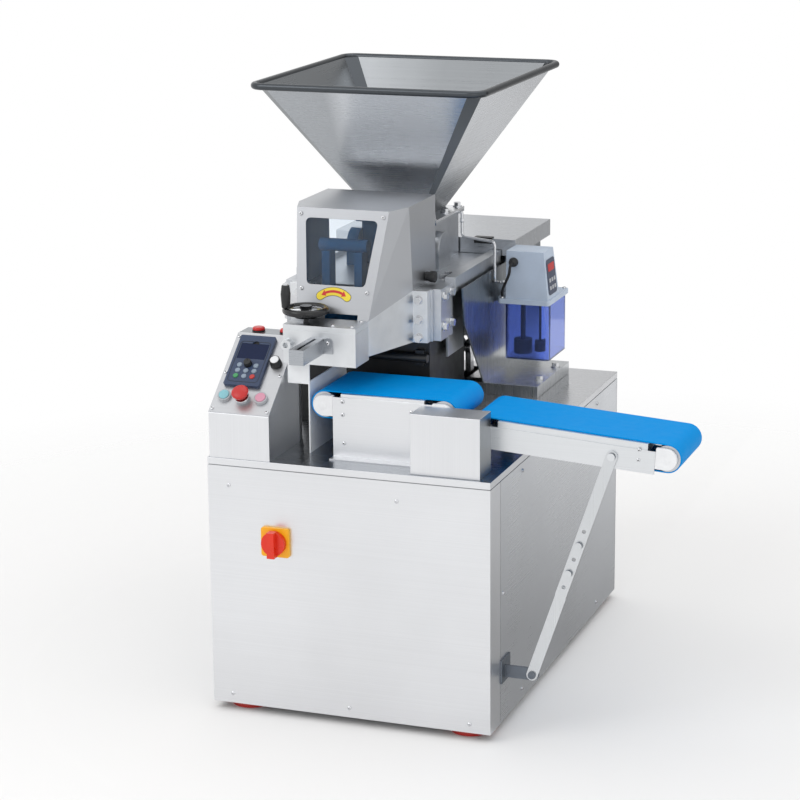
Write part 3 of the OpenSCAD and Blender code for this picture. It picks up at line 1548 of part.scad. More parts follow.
// Upright plate beside the infeed's left end, with its front under the head block
module side_guard() {
  right = in_x0 - belt_r - 5;
  low_top = block_z - 44;
  back = chamber_y - 14;
  color("whitesmoke") placed() {
    span([right - side_t, conv_y + 15, tray_z], [right, back, low_top]);
    span([head_x - block_hw, conv_y + 15, low_top - 6], [right, conv_y + 15 + side_t, block_z]);
    span([right - side_t, back - 26, low_top - 6], [right, back, block_z]);
  }
}

// Lubrication pump

module pump_cap() {
  color("lightsteelblue") placed() {
    translate([pump_x + pump_w / 2, pump_y + pump_d / 2, pump_z]) round_plate(pump_w, pump_d, pump_t, 8);
    span([plate_x, pump_y + 24, pump_z], [pump_x + 10, pump_y + pump_d - 24, pump_z + pump_t]);
    hull() {
      span([pcap_x, pump_y + 4, pump_z + pump_t - over], [pump_x + pump_w - 4, pump_y + 96, pump_z + pump_t]);
      span([pcap_x + 1.5, pump_y + 6, pump_z + pump_t + pcap_h - 4],
        [pump_x + pump_w - 16, pump_y + 84, pump_z + pump_t + pcap_h]);
    }
    translate([tank_x + 34, pump_y + 50, 0]) {
      rod_z([0, 0, pump_z - tank_h + 40], 12, tank_h - 40);
      rod_z([0, 0, pump_z - tank_h + 8], 44, 34);
    }
    translate([tank_x + 78, pump_y + 44, 0]) {
      rod_z([0, 0, pump_z - tank_h + 20], 6, tank_h - 20);
      rod_z([0, 0, pump_z - tank_h + 16], 26, 26);
    }
  }
}

module pump_tank() {
  w = pump_w - tank_in - 2;
  d = pump_d - 22;
  color("royalblue", 0.5) placed() translate([tank_x + w / 2, pump_y + 8 + d / 2, pump_z - tank_h]) difference() {
    round_plate(w, d, tank_h, 12);
    translate([0, 0, tank_wall]) round_plate(w - 2 * tank_wall, d - 2 * tank_wall, tank_h, 12 - tank_wall);
  }
}

// Round bar through a list of points, with a ball over each bend
ball_over = 1.05;
module piped(points, d) {
  last = len(points) - 2;
  steps = [for (i = [0:last]) points[i + 1] - points[i]];
  for (i = [0:last]) translate(points[i])
    rotate([0, acos(steps[i][2] / norm(steps[i])), atan2(steps[i][1], steps[i][0])])
      cylinder(d = d, h = norm(steps[i]));
  for (i = [1:last]) {
    bend = acos(min(1, steps[i - 1] * steps[i] / norm(steps[i - 1]) / norm(steps[i])));
    translate(points[i]) sphere(d = ball_over * d / cos(bend / 2));
  }
}

module oil_pipe() {
  color("silver") placed() piped(pipe_points, oil_d);
}

module pump_lead() {
  color("black") placed() {
    piped(lead_points, lead_d);
    rod_y([lead_points[0][0], pump_y - 6, lead_points[0][2]], 15, 11);
  }
}

// Main drive

module gear_motor() {
  box_hw = gear_hw;
  gear_x = arm_x - 40;
  low_z = crank_z - 130;
  color("darkgreen") placed() {
    difference() {
      union() {
        span([gear_x - 110, crank_y - box_hw, floor_z], [gear_x, crank_y + box_hw, crank_z + box_hw]);
        rod_y([gear_x - 55, crank_y - box_hw - motor_l, low_z], motor_d, motor_l + over);
        span([gear_x - 95, crank_y - box_hw - motor_l + 30, floor_z],
          [gear_x - 15, crank_y - box_hw, low_z - motor_d / 4]);
      }
      rod_x([gear_x - 60, crank_y, crank_z], rocker_d + 2 * run_fit, 61);
    }
  }
}

module crank_disc() {
  gear_x = arm_x - 40;
  disc_x = rod_x - disc_t - 3;
  color("dimgray") placed() {
    rod_x([gear_x - 55, crank_y, crank_z], rocker_d, disc_x - gear_x + 56);
    rod_x([disc_x, crank_y, crank_z], 2 * disc_r, disc_t);
    rod_x([disc_x, crank_y, rod_low], drive_pin_d, disc_t + rod_t + 6);
  }
}

module connecting_rod() {
  color("silver") placed() difference() {
    union() {
      rod_x([rod_x, crank_y, rod_low], 2 * eye_r, rod_t);
      rod_x([rod_x, crank_y, rod_top], 2 * eye_r, rod_t);
      span([rod_x, crank_y - 12, rod_low], [rod_x + rod_t, crank_y + 12, rod_top]);
    }
    for (z = [rod_low, rod_top]) rod_x([rod_x - over, crank_y, z], drive_pin_d + 2 * run_fit, rod_t + 2 * over);
  }
}

module rocker() {
  color("slategray") placed() {
    rod_x([head_x - plate_hw - plate_t, rocker_y, rocker_z], rocker_d,
      rear_arm_x - head_x + plate_hw + plate_t + 4);
    rod_x([arm_x - 1, rocker_y, rocker_z], rocker_d + 20, rear_arm_x + arm_t - arm_x + 2);
    translate([arm_x, rocker_y, rocker_z]) rotate([-rocker_half, 0, 0]) {
      span([0, -13, 0], [arm_t, 13, rocker_arm]);
      rod_x([0, 0, rocker_arm], 26, arm_t);
      rod_x([-arm_gap - 2 * tail_hw, 0, rocker_arm], drive_pin_d, arm_gap + 2 * tail_hw + over);
    }
    translate([rear_arm_x, rocker_y, rocker_z]) rotate([-rocker_half, 0, 0]) {
      span([0, 0, -13], [arm_t, rocker_rear, 13]);
      rod_x([0, rocker_rear, 0], 26, arm_t + 1.5);
    }
  }
}

// One line per node
base_frame();
front_panel();
cabinet_panels();
top_tray();
feet();
panel_screws();
isolator_base();
isolator_knob();
control_box();
control_panel();
keypad_bezel();
key_mat();
keypad_dial();
start_button();
stop_button();
estop_button();
button_bodies();
speed_knob();
signal_lamps();
infeed_frame();
infeed_end_caps();
infeed_belt();
infeed_drive_roller();
infeed_idler_roller();
drive_cover();
conveyor_motor();
motor_sprocket();
outfeed_frame();
outfeed_end_caps();
outfeed_belt();
outfeed_drive_roller();
outfeed_tail_roller();
outfeed_brackets();
strut_lower();
strut_upper();
head_block();
scale_tube();
stop_bar();
handwheel();
handwheel_grip();
hood();
hood_window();
head_casting();
measuring_drum();
chamber();
ram();
hopper();
rear_housing();
housing_lid();
hex_bolts();
pedestal();
side_guard();
pump_cap();
pump_tank();
oil_pipe();
pump_lead();
gear_motor();
crank_disc();
connecting_rod();
rocker();
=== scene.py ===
"""Looks for a dough divider: finishes, small fittings, light and camera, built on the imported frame."""
import math
import bpy
import bmesh
from mathutils import Matrix, Vector


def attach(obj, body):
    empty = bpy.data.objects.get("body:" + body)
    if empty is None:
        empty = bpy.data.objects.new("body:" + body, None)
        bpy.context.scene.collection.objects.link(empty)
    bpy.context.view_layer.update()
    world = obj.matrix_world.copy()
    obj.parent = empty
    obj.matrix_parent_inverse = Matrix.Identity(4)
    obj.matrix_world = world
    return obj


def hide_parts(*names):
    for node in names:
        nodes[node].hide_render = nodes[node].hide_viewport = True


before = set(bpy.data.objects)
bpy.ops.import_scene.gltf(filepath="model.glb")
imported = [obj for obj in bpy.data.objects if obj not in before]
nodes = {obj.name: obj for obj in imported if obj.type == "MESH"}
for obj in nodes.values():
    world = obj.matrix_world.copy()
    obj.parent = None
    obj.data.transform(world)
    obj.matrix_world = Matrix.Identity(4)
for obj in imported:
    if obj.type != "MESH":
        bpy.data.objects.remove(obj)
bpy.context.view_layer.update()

# Positions are written in the machine's own millimetres and moved to the shared frame
MID_X, MID_Y = 171.025, 506.0
HEAD_X = -88.0
FRONT = Vector((0, -1, 0))
UP = Vector((0, 0, 1))


def at(x, y, z):
    return Vector(((x - MID_X) / 1000, (y - MID_Y) / 1000, z / 1000))


# Slanted control panel: u to the right, v up the slope, n off the face
SLANT = math.radians(38.9041)
SLANT_N = Vector((0, -math.sin(SLANT), math.cos(SLANT)))
SLANT_V = Vector((0, math.cos(SLANT), math.sin(SLANT)))
SLANT_AT = Vector((-249, 2, 688))


def on_slant(u, v, n=0.0):
    return at(SLANT_AT.x + u, SLANT_AT.y, SLANT_AT.z) + (SLANT_V * v + SLANT_N * n) / 1000


def slant_uvn(c):
    d = c - SLANT_AT
    return d.x, d.dot(SLANT_V), d.dot(SLANT_N)


# Leaning front of the hood: u to the right of the head's middle, v up the slope, n off the face
LEAN = math.radians(17.38)
HOOD_N = Vector((0, -math.cos(LEAN), math.sin(LEAN)))
HOOD_V = Vector((0, math.sin(LEAN), math.cos(LEAN)))
HOOD_FOOT_Y, BLOCK_TOP_Z = 158, 876


def on_hood(u, v, n=0.0):
    return at(HEAD_X + u, HOOD_FOOT_Y, BLOCK_TOP_Z) + (HOOD_V * v + HOOD_N * n) / 1000


# Outfeed side rail: s along the rail from the inner roller, w square to it
TILT = math.radians(3.9)
ROLLER_X, ROLLER_Z = 271, 671
CONVEYOR_FACE_Y, CAP_FACE_Y = 85, 85.2


def on_rail(s, w, y):
    return at(ROLLER_X + s * math.cos(TILT) + w * math.sin(TILT), y,
              ROLLER_Z - s * math.sin(TILT) + w * math.cos(TILT))


# Right side of the pump's cap: w to the back, v up the slope, n off the face
CAP_LEAN = math.atan2(12, 110)
CAP_N = Vector((math.cos(CAP_LEAN), 0, math.sin(CAP_LEAN)))
CAP_V = Vector((-math.sin(CAP_LEAN), 0, math.cos(CAP_LEAN)))
FLANGE_TOP_Z = 827


def on_cap(w, v, n=0.0):
    return at(244, 687 + w, FLANGE_TOP_Z) + (CAP_V * v + CAP_N * n) / 1000


def shown(obj):
    bpy.context.scene.collection.objects.link(obj)
    return obj


# Camera, fitted to the cabinet's edges in the photograph
YAW, PITCH, ROLL = math.radians(-20.10), math.radians(14.61), math.radians(-0.54)
cam_data = bpy.data.cameras.new("camera")
cam_data.lens = 110.7
cam_data.sensor_width = 36.0
cam = shown(bpy.data.objects.new("camera", cam_data))
forward = Vector((math.sin(YAW) * math.cos(PITCH), math.cos(YAW) * math.cos(PITCH), -math.sin(PITCH)))
right = Vector((math.cos(YAW), -math.sin(YAW), 0))
upward = right.cross(forward)
cam_right = right * math.cos(ROLL) + upward * math.sin(ROLL)
cam_up = upward * math.cos(ROLL) - right * math.sin(ROLL)
aim = Matrix((cam_right, cam_up, -forward)).transposed().to_4x4()
cam.matrix_world = Matrix.Translation(at(1849, -4711, 2057)) @ aim
bpy.context.scene.camera = cam
bpy.context.scene.view_settings.view_transform = "Standard"


# Material tools
LOOKS = {}
MIX_A, MIX_B, MIX_OUT = 6, 7, 2


def srgb(r, g, b):
    def lin(c):
        c = c / 255
        return c / 12.92 if c <= 0.04045 else ((c + 0.055) / 1.055) ** 2.4
    return (lin(r), lin(g), lin(b))


def scaled(colour, factor):
    return tuple(min(1.0, c * factor) for c in colour)


def add_node(tree, kind, values):
    """New shader node: each socket gets a value, or a link where the value is another node's output."""
    node = tree.nodes.new("ShaderNode" + kind)
    for socket, value in values.items():
        if isinstance(value, bpy.types.NodeSocket):
            tree.links.new(value, node.inputs[socket])
        else:
            node.inputs[socket].default_value = value
    return node


class Look:
    """One procedural material with a Principled shader, kept in LOOKS under its name."""

    def __init__(self, name, colour, rough, metallic=0.0):
        mat = bpy.data.materials.new(name)
        mat.use_nodes = True
        self.tree = mat.node_tree
        self.shader = self.tree.nodes["Principled BSDF"]
        self.colour = colour
        self.rough = rough
        self.set("Base Color", (*colour, 1))
        self.set("Roughness", rough)
        self.set("Metallic", metallic)
        self.coords = self.node("TexCoord").outputs["Object"]
        self.normal = None
        LOOKS[name] = mat

    def set(self, socket, value):
        self.shader.inputs[socket].default_value = value

    def feed(self, socket, out):
        self.tree.links.new(out, self.shader.inputs[socket])

    def node(self, kind, **values):
        return add_node(self.tree, kind, {key.replace("_", " "): value for key, value in values.items()})

    def noise(self, scale, stretch=(1, 1, 1), detail=3.0):
        spread = self.node("Mapping", Vector=self.coords, Scale=stretch)
        return self.node("TexNoise", Vector=spread.outputs["Vector"], Scale=scale, Detail=detail).outputs["Fac"]

    def ramp(self, fac, low, high, a=0.3, b=0.7):
        node = self.node("ValToRGB", Fac=fac)
        for element, place, colour in zip(node.color_ramp.elements, (a, b), (low, high)):
            element.position = place
            element.color = (*colour, 1)
        return node.outputs["Color"]

    def span(self, fac, low, high, a=0.3, b=0.7):
        node = self.node("MapRange", Value=fac, From_Min=a, From_Max=b, To_Min=low, To_Max=high)
        return node.outputs["Result"]

    def along(self, axis):
        return self.node("SeparateXYZ", Vector=self.coords).outputs[axis]

    def mix(self, fac, a, b, kind="MIX"):
        a, b = ((*c, 1) if isinstance(c, tuple) else c for c in (a, b))
        node = add_node(self.tree, "Mix", {"Factor": fac, MIX_A: a, MIX_B: b})
        node.data_type = "RGBA"
        node.blend_type = kind
        return node.outputs[MIX_OUT]

    def bump(self, fac, strength, depth):
        """One more layer of relief over those before it."""
        node = self.node("Bump", Height=fac, Strength=strength, Distance=depth)
        if self.normal is not None:
            self.tree.links.new(self.normal, node.inputs["Normal"])
        self.normal = node.outputs["Normal"]
        self.feed("Normal", self.normal)

    def shade(self, amount, scale):
        """Slow drift of the colour, as handling and casting leave on a real surface."""
        low, high = scaled(self.colour, 1 - amount), scaled(self.colour, 1 + amount)
        self.feed("Base Color", self.ramp(self.noise(scale, detail=4.0), low, high))

    def gloss(self, fac, less, more):
        """Uneven roughness about the plain one."""
        self.feed("Roughness", self.span(fac, self.rough - less, self.rough + more))


# Stretch of the scratches for each direction of the grain
GRAIN = {"x": (1.2, 1100, 1100), "y": (1100, 1.2, 1100), "z": (1100, 1100, 1.2), "level": (1.2, 1.2, 900)}


def brushed(name, colour, rough, grain, smear=0.035, painted_turns=()):
    """Stainless sheet: fine parallel scratches, faint wiping marks and an uneven sheen.

    Each turn shifts the tone to another colour along an axis, from a start to an end in metres; the turns are
    painted shade and painted reflection.
    """
    m = Look(name, colour, rough, 1.0)
    lines = m.noise(1.0, GRAIN[grain], 2.0)
    clouds = m.noise(3.2, detail=5.0)
    tone = m.ramp(clouds, scaled(colour, 1 - smear), scaled(colour, 1 + smear))
    for axis, start, end, other in painted_turns:
        tone = m.mix(m.span(m.along(axis), 0.0, 1.0, start, end), tone, other)
    grit = m.ramp(lines, (0.955, 0.955, 0.955), (1, 1, 1))
    m.feed("Base Color", m.mix(1.0, tone, grit, "MULTIPLY"))
    wipes = m.noise(9.0, (1, 1, 0.35), 4.0)
    m.gloss(m.mix(0.5, lines, wipes), 0.06, 0.07)
    m.bump(lines, 0.022, 0.0005)


def cast(name, colour, rough, metallic=1.0, pits=0.15):
    """Blasted or cast metal: small pits and a mottled tone."""
    m = Look(name, colour, rough, metallic)
    m.shade(0.07, 14.0)
    m.gloss(m.noise(60.0), 0.06, 0.08)
    m.bump(m.noise(900.0, detail=2.0), pits, 0.0004)
    return m


def moulded(name, colour, rough, texture=0.06):
    """Moulded plastic: fine spark texture, slight drift of tone and gloss."""
    m = Look(name, colour, rough)
    m.shade(0.05, 22.0)
    m.gloss(m.noise(35.0), 0.05, 0.07)
    m.bump(m.noise(1400.0, detail=2.0), texture, 0.0003)
    return m


def painted(name, colour, rough):
    """Sprayed paint: orange peel and dust in the finish."""
    m = Look(name, colour, rough)
    m.shade(0.06, 9.0)
    m.gloss(m.noise(28.0), 0.05, 0.08)
    m.bump(m.noise(420.0), 0.10, 0.0004)
    m.set("Coat Weight", 0.15)
    m.set("Coat Roughness", 0.25)


def belted(name, colour):
    """Conveyor belt: a fine weave pressed into the coating, dulled by flour in places."""
    m = Look(name, colour, 0.5)
    dusty = tuple(c * 0.97 + 0.006 for c in colour)
    m.feed("Base Color", m.ramp(m.noise(16.0, detail=5.0), colour, dusty, 0.45, 0.85))
    m.gloss(m.noise(45.0), 0.06, 0.06)
    weave = m.node("TexWave", Vector=m.coords, Scale=130.0, Distortion=1.2, Detail=1.0)
    m.bump(weave.outputs["Fac"], 0.06, 0.0004)
    m.bump(m.noise(700.0, detail=2.0), 0.10, 0.0003)
    m.set("Specular IOR Level", 0.03)


def clear(name, colour, rough, transmission, ior=1.45):
    """Tinted clear plastic with a faint haze and wiping marks."""
    m = Look(name, colour, rough)
    m.set("Transmission Weight", transmission)
    m.set("IOR", ior)
    m.feed("Roughness", m.span(m.noise(24.0, detail=5.0), rough, rough + 0.03, 0.4, 0.8))
    m.bump(m.noise(160.0), 0.01, 0.0001)
    m.feed("Base Color", m.ramp(m.noise(6.0), scaled(colour, 0.94), colour))


brushed("sheet_front", (0.77, 0.78, 0.80), 0.36, "x")
brushed("sheet_upright", (0.77, 0.78, 0.80), 0.34, "z")
# The cabinet's side panels: the front's stainless made darker, painted shade
brushed("sheet_side_painted_shade", (0.68, 0.70, 0.73), 0.30, "y")
brushed("sheet_hood", (0.56, 0.575, 0.60), 0.36, "x")
brushed("sheet_panel", (0.57, 0.58, 0.60), 0.36, "x")
# The hood's leaning front: the hood's stainless made darker, painted shade
brushed("hood_face_painted_shade", (0.385, 0.395, 0.415), 0.36, "x")
# A darker copy of the stainless for faces in shade: painted shade
brushed("painted_shade_sheet", (0.34, 0.36, 0.38), 0.34, "z")
# Inside of the hopper: the stainless made darker, painted shade
brushed("hopper_inside_painted_shade", (0.27, 0.285, 0.30), 0.30, "level")
brushed("sheet_tray", (0.42, 0.44, 0.47), 0.28, "x")
# Hopper's outer faces: lighter low down and darker to the left, painted reflection
brushed("hopper_painted_reflection", (0.62, 0.64, 0.67), 0.27, "level",
        painted_turns=[("Z", 1.24, 1.06, (0.86, 0.87, 0.89)), ("X", -0.318, -0.362, (0.42, 0.44, 0.465))])
# Outer right face of the hopper: darker low down, painted reflection
brushed("hopper_side", (0.68, 0.70, 0.73), 0.27, "level", painted_turns=[("Z", 1.15, 1.09, (0.20, 0.215, 0.23))])
# Far inner wall of the hopper: darker copy, darker again to the right, painted shade
brushed("hopper_back_painted_shade", (0.46, 0.48, 0.50), 0.30, "level", painted_turns=[("X", -0.46, -0.27, (0.32, 0.335, 0.35))])
# Rounded corners of the funnel: near black, painted shade
brushed("hopper_corner_painted_shade", (0.17, 0.185, 0.20), 0.34, "level")
brushed("sheet_rail", (0.74, 0.76, 0.78), 0.32, "x")
# Rear housing: its stainless darker above and lighter below, painted shade
brushed("sheet_rear_painted_shade", (0.26, 0.28, 0.30), 0.26, "z", painted_turns=[("Z", 0.73, 0.65, (0.64, 0.66, 0.68))])
# Top tray: the stainless darker at the front and lighter towards the back, painted shade and painted reflection
brushed("tray_top_painted_shade", (0.42, 0.44, 0.47), 0.28, "x", painted_turns=[("Y", -0.10, 0.10, (0.76, 0.77, 0.79))])
brushed("sheet_lid", (0.60, 0.62, 0.65), 0.26, "x")
# Hopper rim: the stainless made near black, painted shade
brushed("rim_painted_shade", (0.075, 0.082, 0.09), 0.30, "level")
brushed("steel_bar", (0.66, 0.68, 0.70), 0.32, "z")
brushed("bright_screw", (0.66, 0.67, 0.69), 0.22, "z", 0.06)
brushed("turned", (0.60, 0.61, 0.63), 0.28, "y")
cast("cast_light", (0.70, 0.72, 0.74), 0.38)
# Top faces of the head block: the cast made darker, painted shade
cast("block_top", (0.52, 0.54, 0.57), 0.36)
# Side guard: its steel sheet as a pale non-metal grey, painted light in the shaded gap beside the infeed
cast("guard_painted_light", (0.88, 0.90, 0.92), 0.5, 0.0, 0.06)
cast("chamber_steel", (0.56, 0.58, 0.61), 0.36)
# Dark steel for the stop bar, crank and rocker, and on the bolt heads' sides as painted shade
cast("dark_steel", (0.16, 0.18, 0.21), 0.42, 0.8)
# Dark blue for parts and faces inside the hood: painted shade, tinted as seen through the window
cast("painted_shade_behind_window", (0.014, 0.072, 0.165), 0.6, 0.0).set("Specular IOR Level", 0.08)
painted("frame_paint", srgb(150, 152, 155), 0.45)
painted("foot_paint", srgb(190, 44, 38), 0.42)
# Black paint for the lid's clip, and for the pedestal, which is black as painted shade under the head
painted("black_paint", srgb(22, 24, 27), 0.42)
painted("gear_paint", srgb(48, 96, 78), 0.42)
painted("motor_paint", srgb(118, 121, 124), 0.45)
moulded("yellow_plastic", srgb(247, 180, 24), 0.36)
moulded("red_plastic", srgb(226, 48, 22), 0.30)
moulded("estop_red", srgb(194, 40, 38), 0.36)
moulded("lamp_red", srgb(206, 34, 34), 0.22)
moulded("keypad_dark", srgb(48, 63, 92), 0.45)
moulded("key_grey", srgb(138, 152, 168), 0.55)
moulded("key_green", srgb(70, 150, 96), 0.5)
moulded("key_red", srgb(190, 62, 58), 0.5)
moulded("black_plastic", srgb(28, 29, 31), 0.42)
moulded("black_gloss", srgb(20, 21, 23), 0.22)
moulded("button_blue", srgb(132, 190, 200), 0.4)
moulded("button_pink", srgb(214, 150, 172), 0.4)
moulded("ring_light", srgb(178, 181, 185), 0.42)
moulded("switch_grey", srgb(150, 153, 156), 0.5)
moulded("white_plastic", srgb(238, 239, 241), 0.42)
moulded("pump_grey", srgb(188, 201, 218), 0.42)
moulded("pump_face", srgb(58, 68, 92), 0.3)
moulded("rubber_black", srgb(26, 26, 28), 0.6, 0.12)
moulded("mark_yellow", srgb(238, 214, 56), 0.4)
moulded("mark_red", srgb(204, 40, 38), 0.35)
# Black for printed marks, and in the screws' sockets as painted shade in the recess
moulded("black_mark_and_painted_shade", srgb(26, 26, 26), 0.4)
moulded("display_dark", srgb(22, 34, 66), 0.16, 0.01).set("Specular IOR Level", 0.2)
moulded("key_line", srgb(24, 29, 40), 0.5)
belted("belt_blue", srgb(0, 146, 224))
clear("window_tint", (0.84, 0.91, 0.98), 0.0, 0.97, 1.12)
clear("tank_tint", (0.36, 0.47, 0.90), 0.05, 0.92)

NODE_LOOK = dict(
    base_frame="frame_paint", front_panel="sheet_front", cabinet_panels="sheet_side_painted_shade", top_tray="tray_top_painted_shade",
    feet="foot_paint", panel_screws="bright_screw", isolator_base="yellow_plastic",
    isolator_knob="red_plastic", control_box="sheet_upright", control_panel="sheet_panel",
    keypad_bezel="keypad_dark", key_mat="key_grey", keypad_dial="black_plastic",
    start_button="button_blue", stop_button="button_pink", estop_button="estop_red",
    button_bodies="switch_grey", speed_knob="black_plastic", signal_lamps="lamp_red",
    infeed_frame="sheet_front", infeed_end_caps="white_plastic", infeed_belt="belt_blue",
    infeed_drive_roller="turned", infeed_idler_roller="turned", drive_cover="sheet_upright",
    conveyor_motor="motor_paint", motor_sprocket="turned", outfeed_frame="sheet_rail",
    outfeed_end_caps="white_plastic", outfeed_belt="belt_blue", outfeed_drive_roller="turned",
    outfeed_tail_roller="turned", outfeed_brackets="steel_bar", strut_lower="steel_bar",
    strut_upper="steel_bar", head_block="cast_light", scale_tube="sheet_tray", stop_bar="dark_steel",
    handwheel="black_gloss", handwheel_grip="black_plastic", hood="sheet_hood", hood_window="window_tint",
    # Measuring drum: painted shade, tinted as seen through the window
    head_casting="cast_light", measuring_drum="painted_shade_behind_window", chamber="chamber_steel", ram="chamber_steel",
    hopper="hopper_painted_reflection", rear_housing="sheet_rear_painted_shade", housing_lid="sheet_lid", hex_bolts="bright_screw",
    # Pedestal: black, painted shade under the head
    pedestal="black_paint", side_guard="guard_painted_light", pump_cap="pump_grey", pump_tank="tank_tint",
    oil_pipe="bright_screw", pump_lead="rubber_black", gear_motor="gear_paint", crank_disc="dark_steel",
    connecting_rod="turned", rocker="dark_steel")

for name, look in NODE_LOOK.items():
    obj = nodes[name]
    obj.data.materials.clear()
    obj.data.materials.append(LOOKS[look])


# Second finishes on some faces of the CAD nodes, and painted shade and painted reflection on others
def recolour(node, *rules):
    """Give faces another material, a second finish, painted shade or painted reflection, where a rule on the
    face's middle, in machine millimetres, and normal holds.
    """
    data = nodes[node].data
    for look, rule in rules:
        data.materials.append(LOOKS[look])
        index = len(data.materials) - 1
        for face in data.polygons:
            c = face.center
            if rule(Vector((c.x * 1000 + MID_X, c.y * 1000 + MID_Y, c.z * 1000)), face.normal):
                face.material_index = index


def faces_point(c, n, x, y, z):
    return n.dot(Vector((x, y, z)) - c) > 0


KEY_MID_U, KEY_MID_V = -14.5, 139.0


def on_key(c, u, v):
    a, b, off = slant_uvn(c)
    return abs(a - KEY_MID_U - u) < 7 and abs(b - KEY_MID_V - v) < 6 and off > 4


# Hopper: middle, half sizes of its mouth, and the heights between which its funnel runs
HOPPER_Y, HOPPER_HX, HOPPER_HY = 667, 266, 294
FUNNEL_LOW, FUNNEL_HIGH, RIM_INSIDE = 1029, 1335, 9


def past_mouth(c):
    return max(abs(c.x - HEAD_X) - HOPPER_HX, abs(c.y - HOPPER_Y) - HOPPER_HY) + RIM_INSIDE


def in_funnel(c):
    return FUNNEL_LOW < c.z < FUNNEL_HIGH


def funnel_corner(c, n):
    return in_funnel(c) and abs(n.x) > 0.3 and abs(n.y) > 0.3


def faces_inward(c, n):
    return faces_point(c, n, HEAD_X, HOPPER_Y, c.z)


WHEEL_X, WHEEL_Y = -130.5, 111
KNOB_Y, KNOB_Z = 400, 931


def wheel_dish(c):
    return 14 < math.hypot(c.x - WHEEL_X, c.y - WHEEL_Y) < 37 and c.z > 902


# Chamber faces seen through the window, which get painted shade
def chamber_front(c, n):
    middle = n.y < -0.9 and 560 < c.y < 590
    left = n.y < -0.2 and c.x < HEAD_X - 60 and c.y < 620
    return c.z > 918 and (middle or left)


recolour("key_mat", ("key_green", lambda c, n: on_key(c, -19.5, -44)),
         ("key_red", lambda c, n: on_key(c, 19.5, -44)))
recolour("handwheel", ("bright_screw", lambda c, n: wheel_dish(c) or c.z > 957))
recolour("button_bodies", ("ring_light", lambda c, n: slant_uvn(c)[2] > 0.2 and c.z < 826),
         ("black_plastic", lambda c, n: c.y > 185 and c.z > 824))
# Hood: leaning front darker as painted shade; inside dark blue as painted shade seen through the tinted window
recolour("hood", ("hood_face_painted_shade", lambda c, n: n.dot(HOOD_N) > 0.95),
         ("painted_shade_behind_window", lambda c, n: faces_point(c, n, HEAD_X, 330, 980)))
# Top of the control box: painted shade
recolour("control_box", ("painted_shade_sheet", lambda c, n: n.z > 0.9))
recolour("hex_bolts", ("black_plastic", lambda c, n: abs(c.x - HEAD_X) > 129
                       and abs(c.y - KNOB_Y) < 16 and abs(c.z - KNOB_Z) < 14))
# Inside of the head casting: painted shade
recolour("head_casting", ("painted_shade_behind_window", lambda c, n: abs(c.x - HEAD_X) < 126
                          and faces_point(c, n, HEAD_X, 240, 900)))
recolour("chamber", ("painted_shade_behind_window", chamber_front))
# Head block's top: painted shade
recolour("head_block", ("block_top", lambda c, n: n.z > 0.9 and c.z > BLOCK_TOP_Z - 1))
# Hopper: inside, far wall, corners and rim darkened as painted shade; outer right face with painted reflection
recolour("hopper",
         ("hopper_inside_painted_shade", lambda c, n: c.z > FUNNEL_LOW and past_mouth(c) < 0 and faces_inward(c, n)),
         ("hopper_back_painted_shade", lambda c, n: in_funnel(c) and n.y < -0.5 and c.y > HOPPER_Y),
         ("hopper_side", lambda c, n: in_funnel(c) and n.x > 0.5 and c.x > HEAD_X),
         ("hopper_corner_painted_shade", funnel_corner),
         ("rim_painted_shade", lambda c, n: (c.z > FUNNEL_HIGH and past_mouth(c) > 0)
          or (funnel_corner(c, n) and faces_inward(c, n))))
# Right side of the drive cover: painted shade
recolour("drive_cover", ("painted_shade_sheet", lambda c, n: n.x > 0.9))
recolour("top_tray", ("sheet_front", lambda c, n: abs(n.z) < 0.5))
# Sides of the bolt heads standing in front of these pieces: dark, painted shade round the bright heads
for bolted in ("strut_lower", "strut_upper", "outfeed_frame"):
    recolour(bolted, ("dark_steel", lambda c, n: c.y < 79.2 and abs(n.y) < 0.5))
recolour("outfeed_brackets", ("dark_steel", lambda c, n: c.z < 300))
recolour("pump_cap", ("black_plastic", lambda c, n: c.z < 814.5))


# Small rounding on sheet and block edges, so that they catch the light
def soften(obj, width, harden):
    soft = obj.modifiers.new("soft", "BEVEL")
    soft.width = width / 1000
    soft.segments = 2
    soft.limit_method = "ANGLE"
    soft.angle_limit = math.radians(40)
    soft.harden_normals = harden


ROUNDED = dict(
    control_box=1.2, keypad_bezel=0.4, isolator_base=1.5, drive_cover=1.2, head_block=1.2, top_tray=0.8,
    housing_lid=1.0, scale_tube=0.8, pump_cap=2.5, pump_tank=1.5, infeed_frame=0.5, outfeed_frame=0.6,
    strut_lower=0.5, strut_upper=0.5, feet=1.2, head_casting=1.5, chamber=1.0, hex_bolts=0.5,
    infeed_end_caps=1.2, outfeed_end_caps=1.2, rear_housing=0.6, estop_button=1.2, start_button=0.8,
    stop_button=0.8, keypad_dial=0.7, speed_knob=0.7, isolator_knob=1.4, handwheel_grip=1.5,
    signal_lamps=0.8, gear_motor=1.5, pedestal=1.0, outfeed_brackets=0.5)
for name, width in ROUNDED.items():
    weld = nodes[name].modifiers.new("weld", "WELD")
    weld.merge_threshold = 0.00001
    flat = nodes[name].modifiers.new("flat", "DECIMATE")
    flat.decimate_type = "DISSOLVE"
    flat.angle_limit = math.radians(0.5)
    soften(nodes[name], width, True)


# Mesh tools
def ring(bm, mid, side, other, radius, count):
    """Circle of points about a middle, its radius in millimetres."""
    angles = (2 * math.pi * k / count for k in range(count))
    return [bm.verts.new(mid + (side * math.cos(a) + other * math.sin(a)) * radius / 1000) for a in angles]


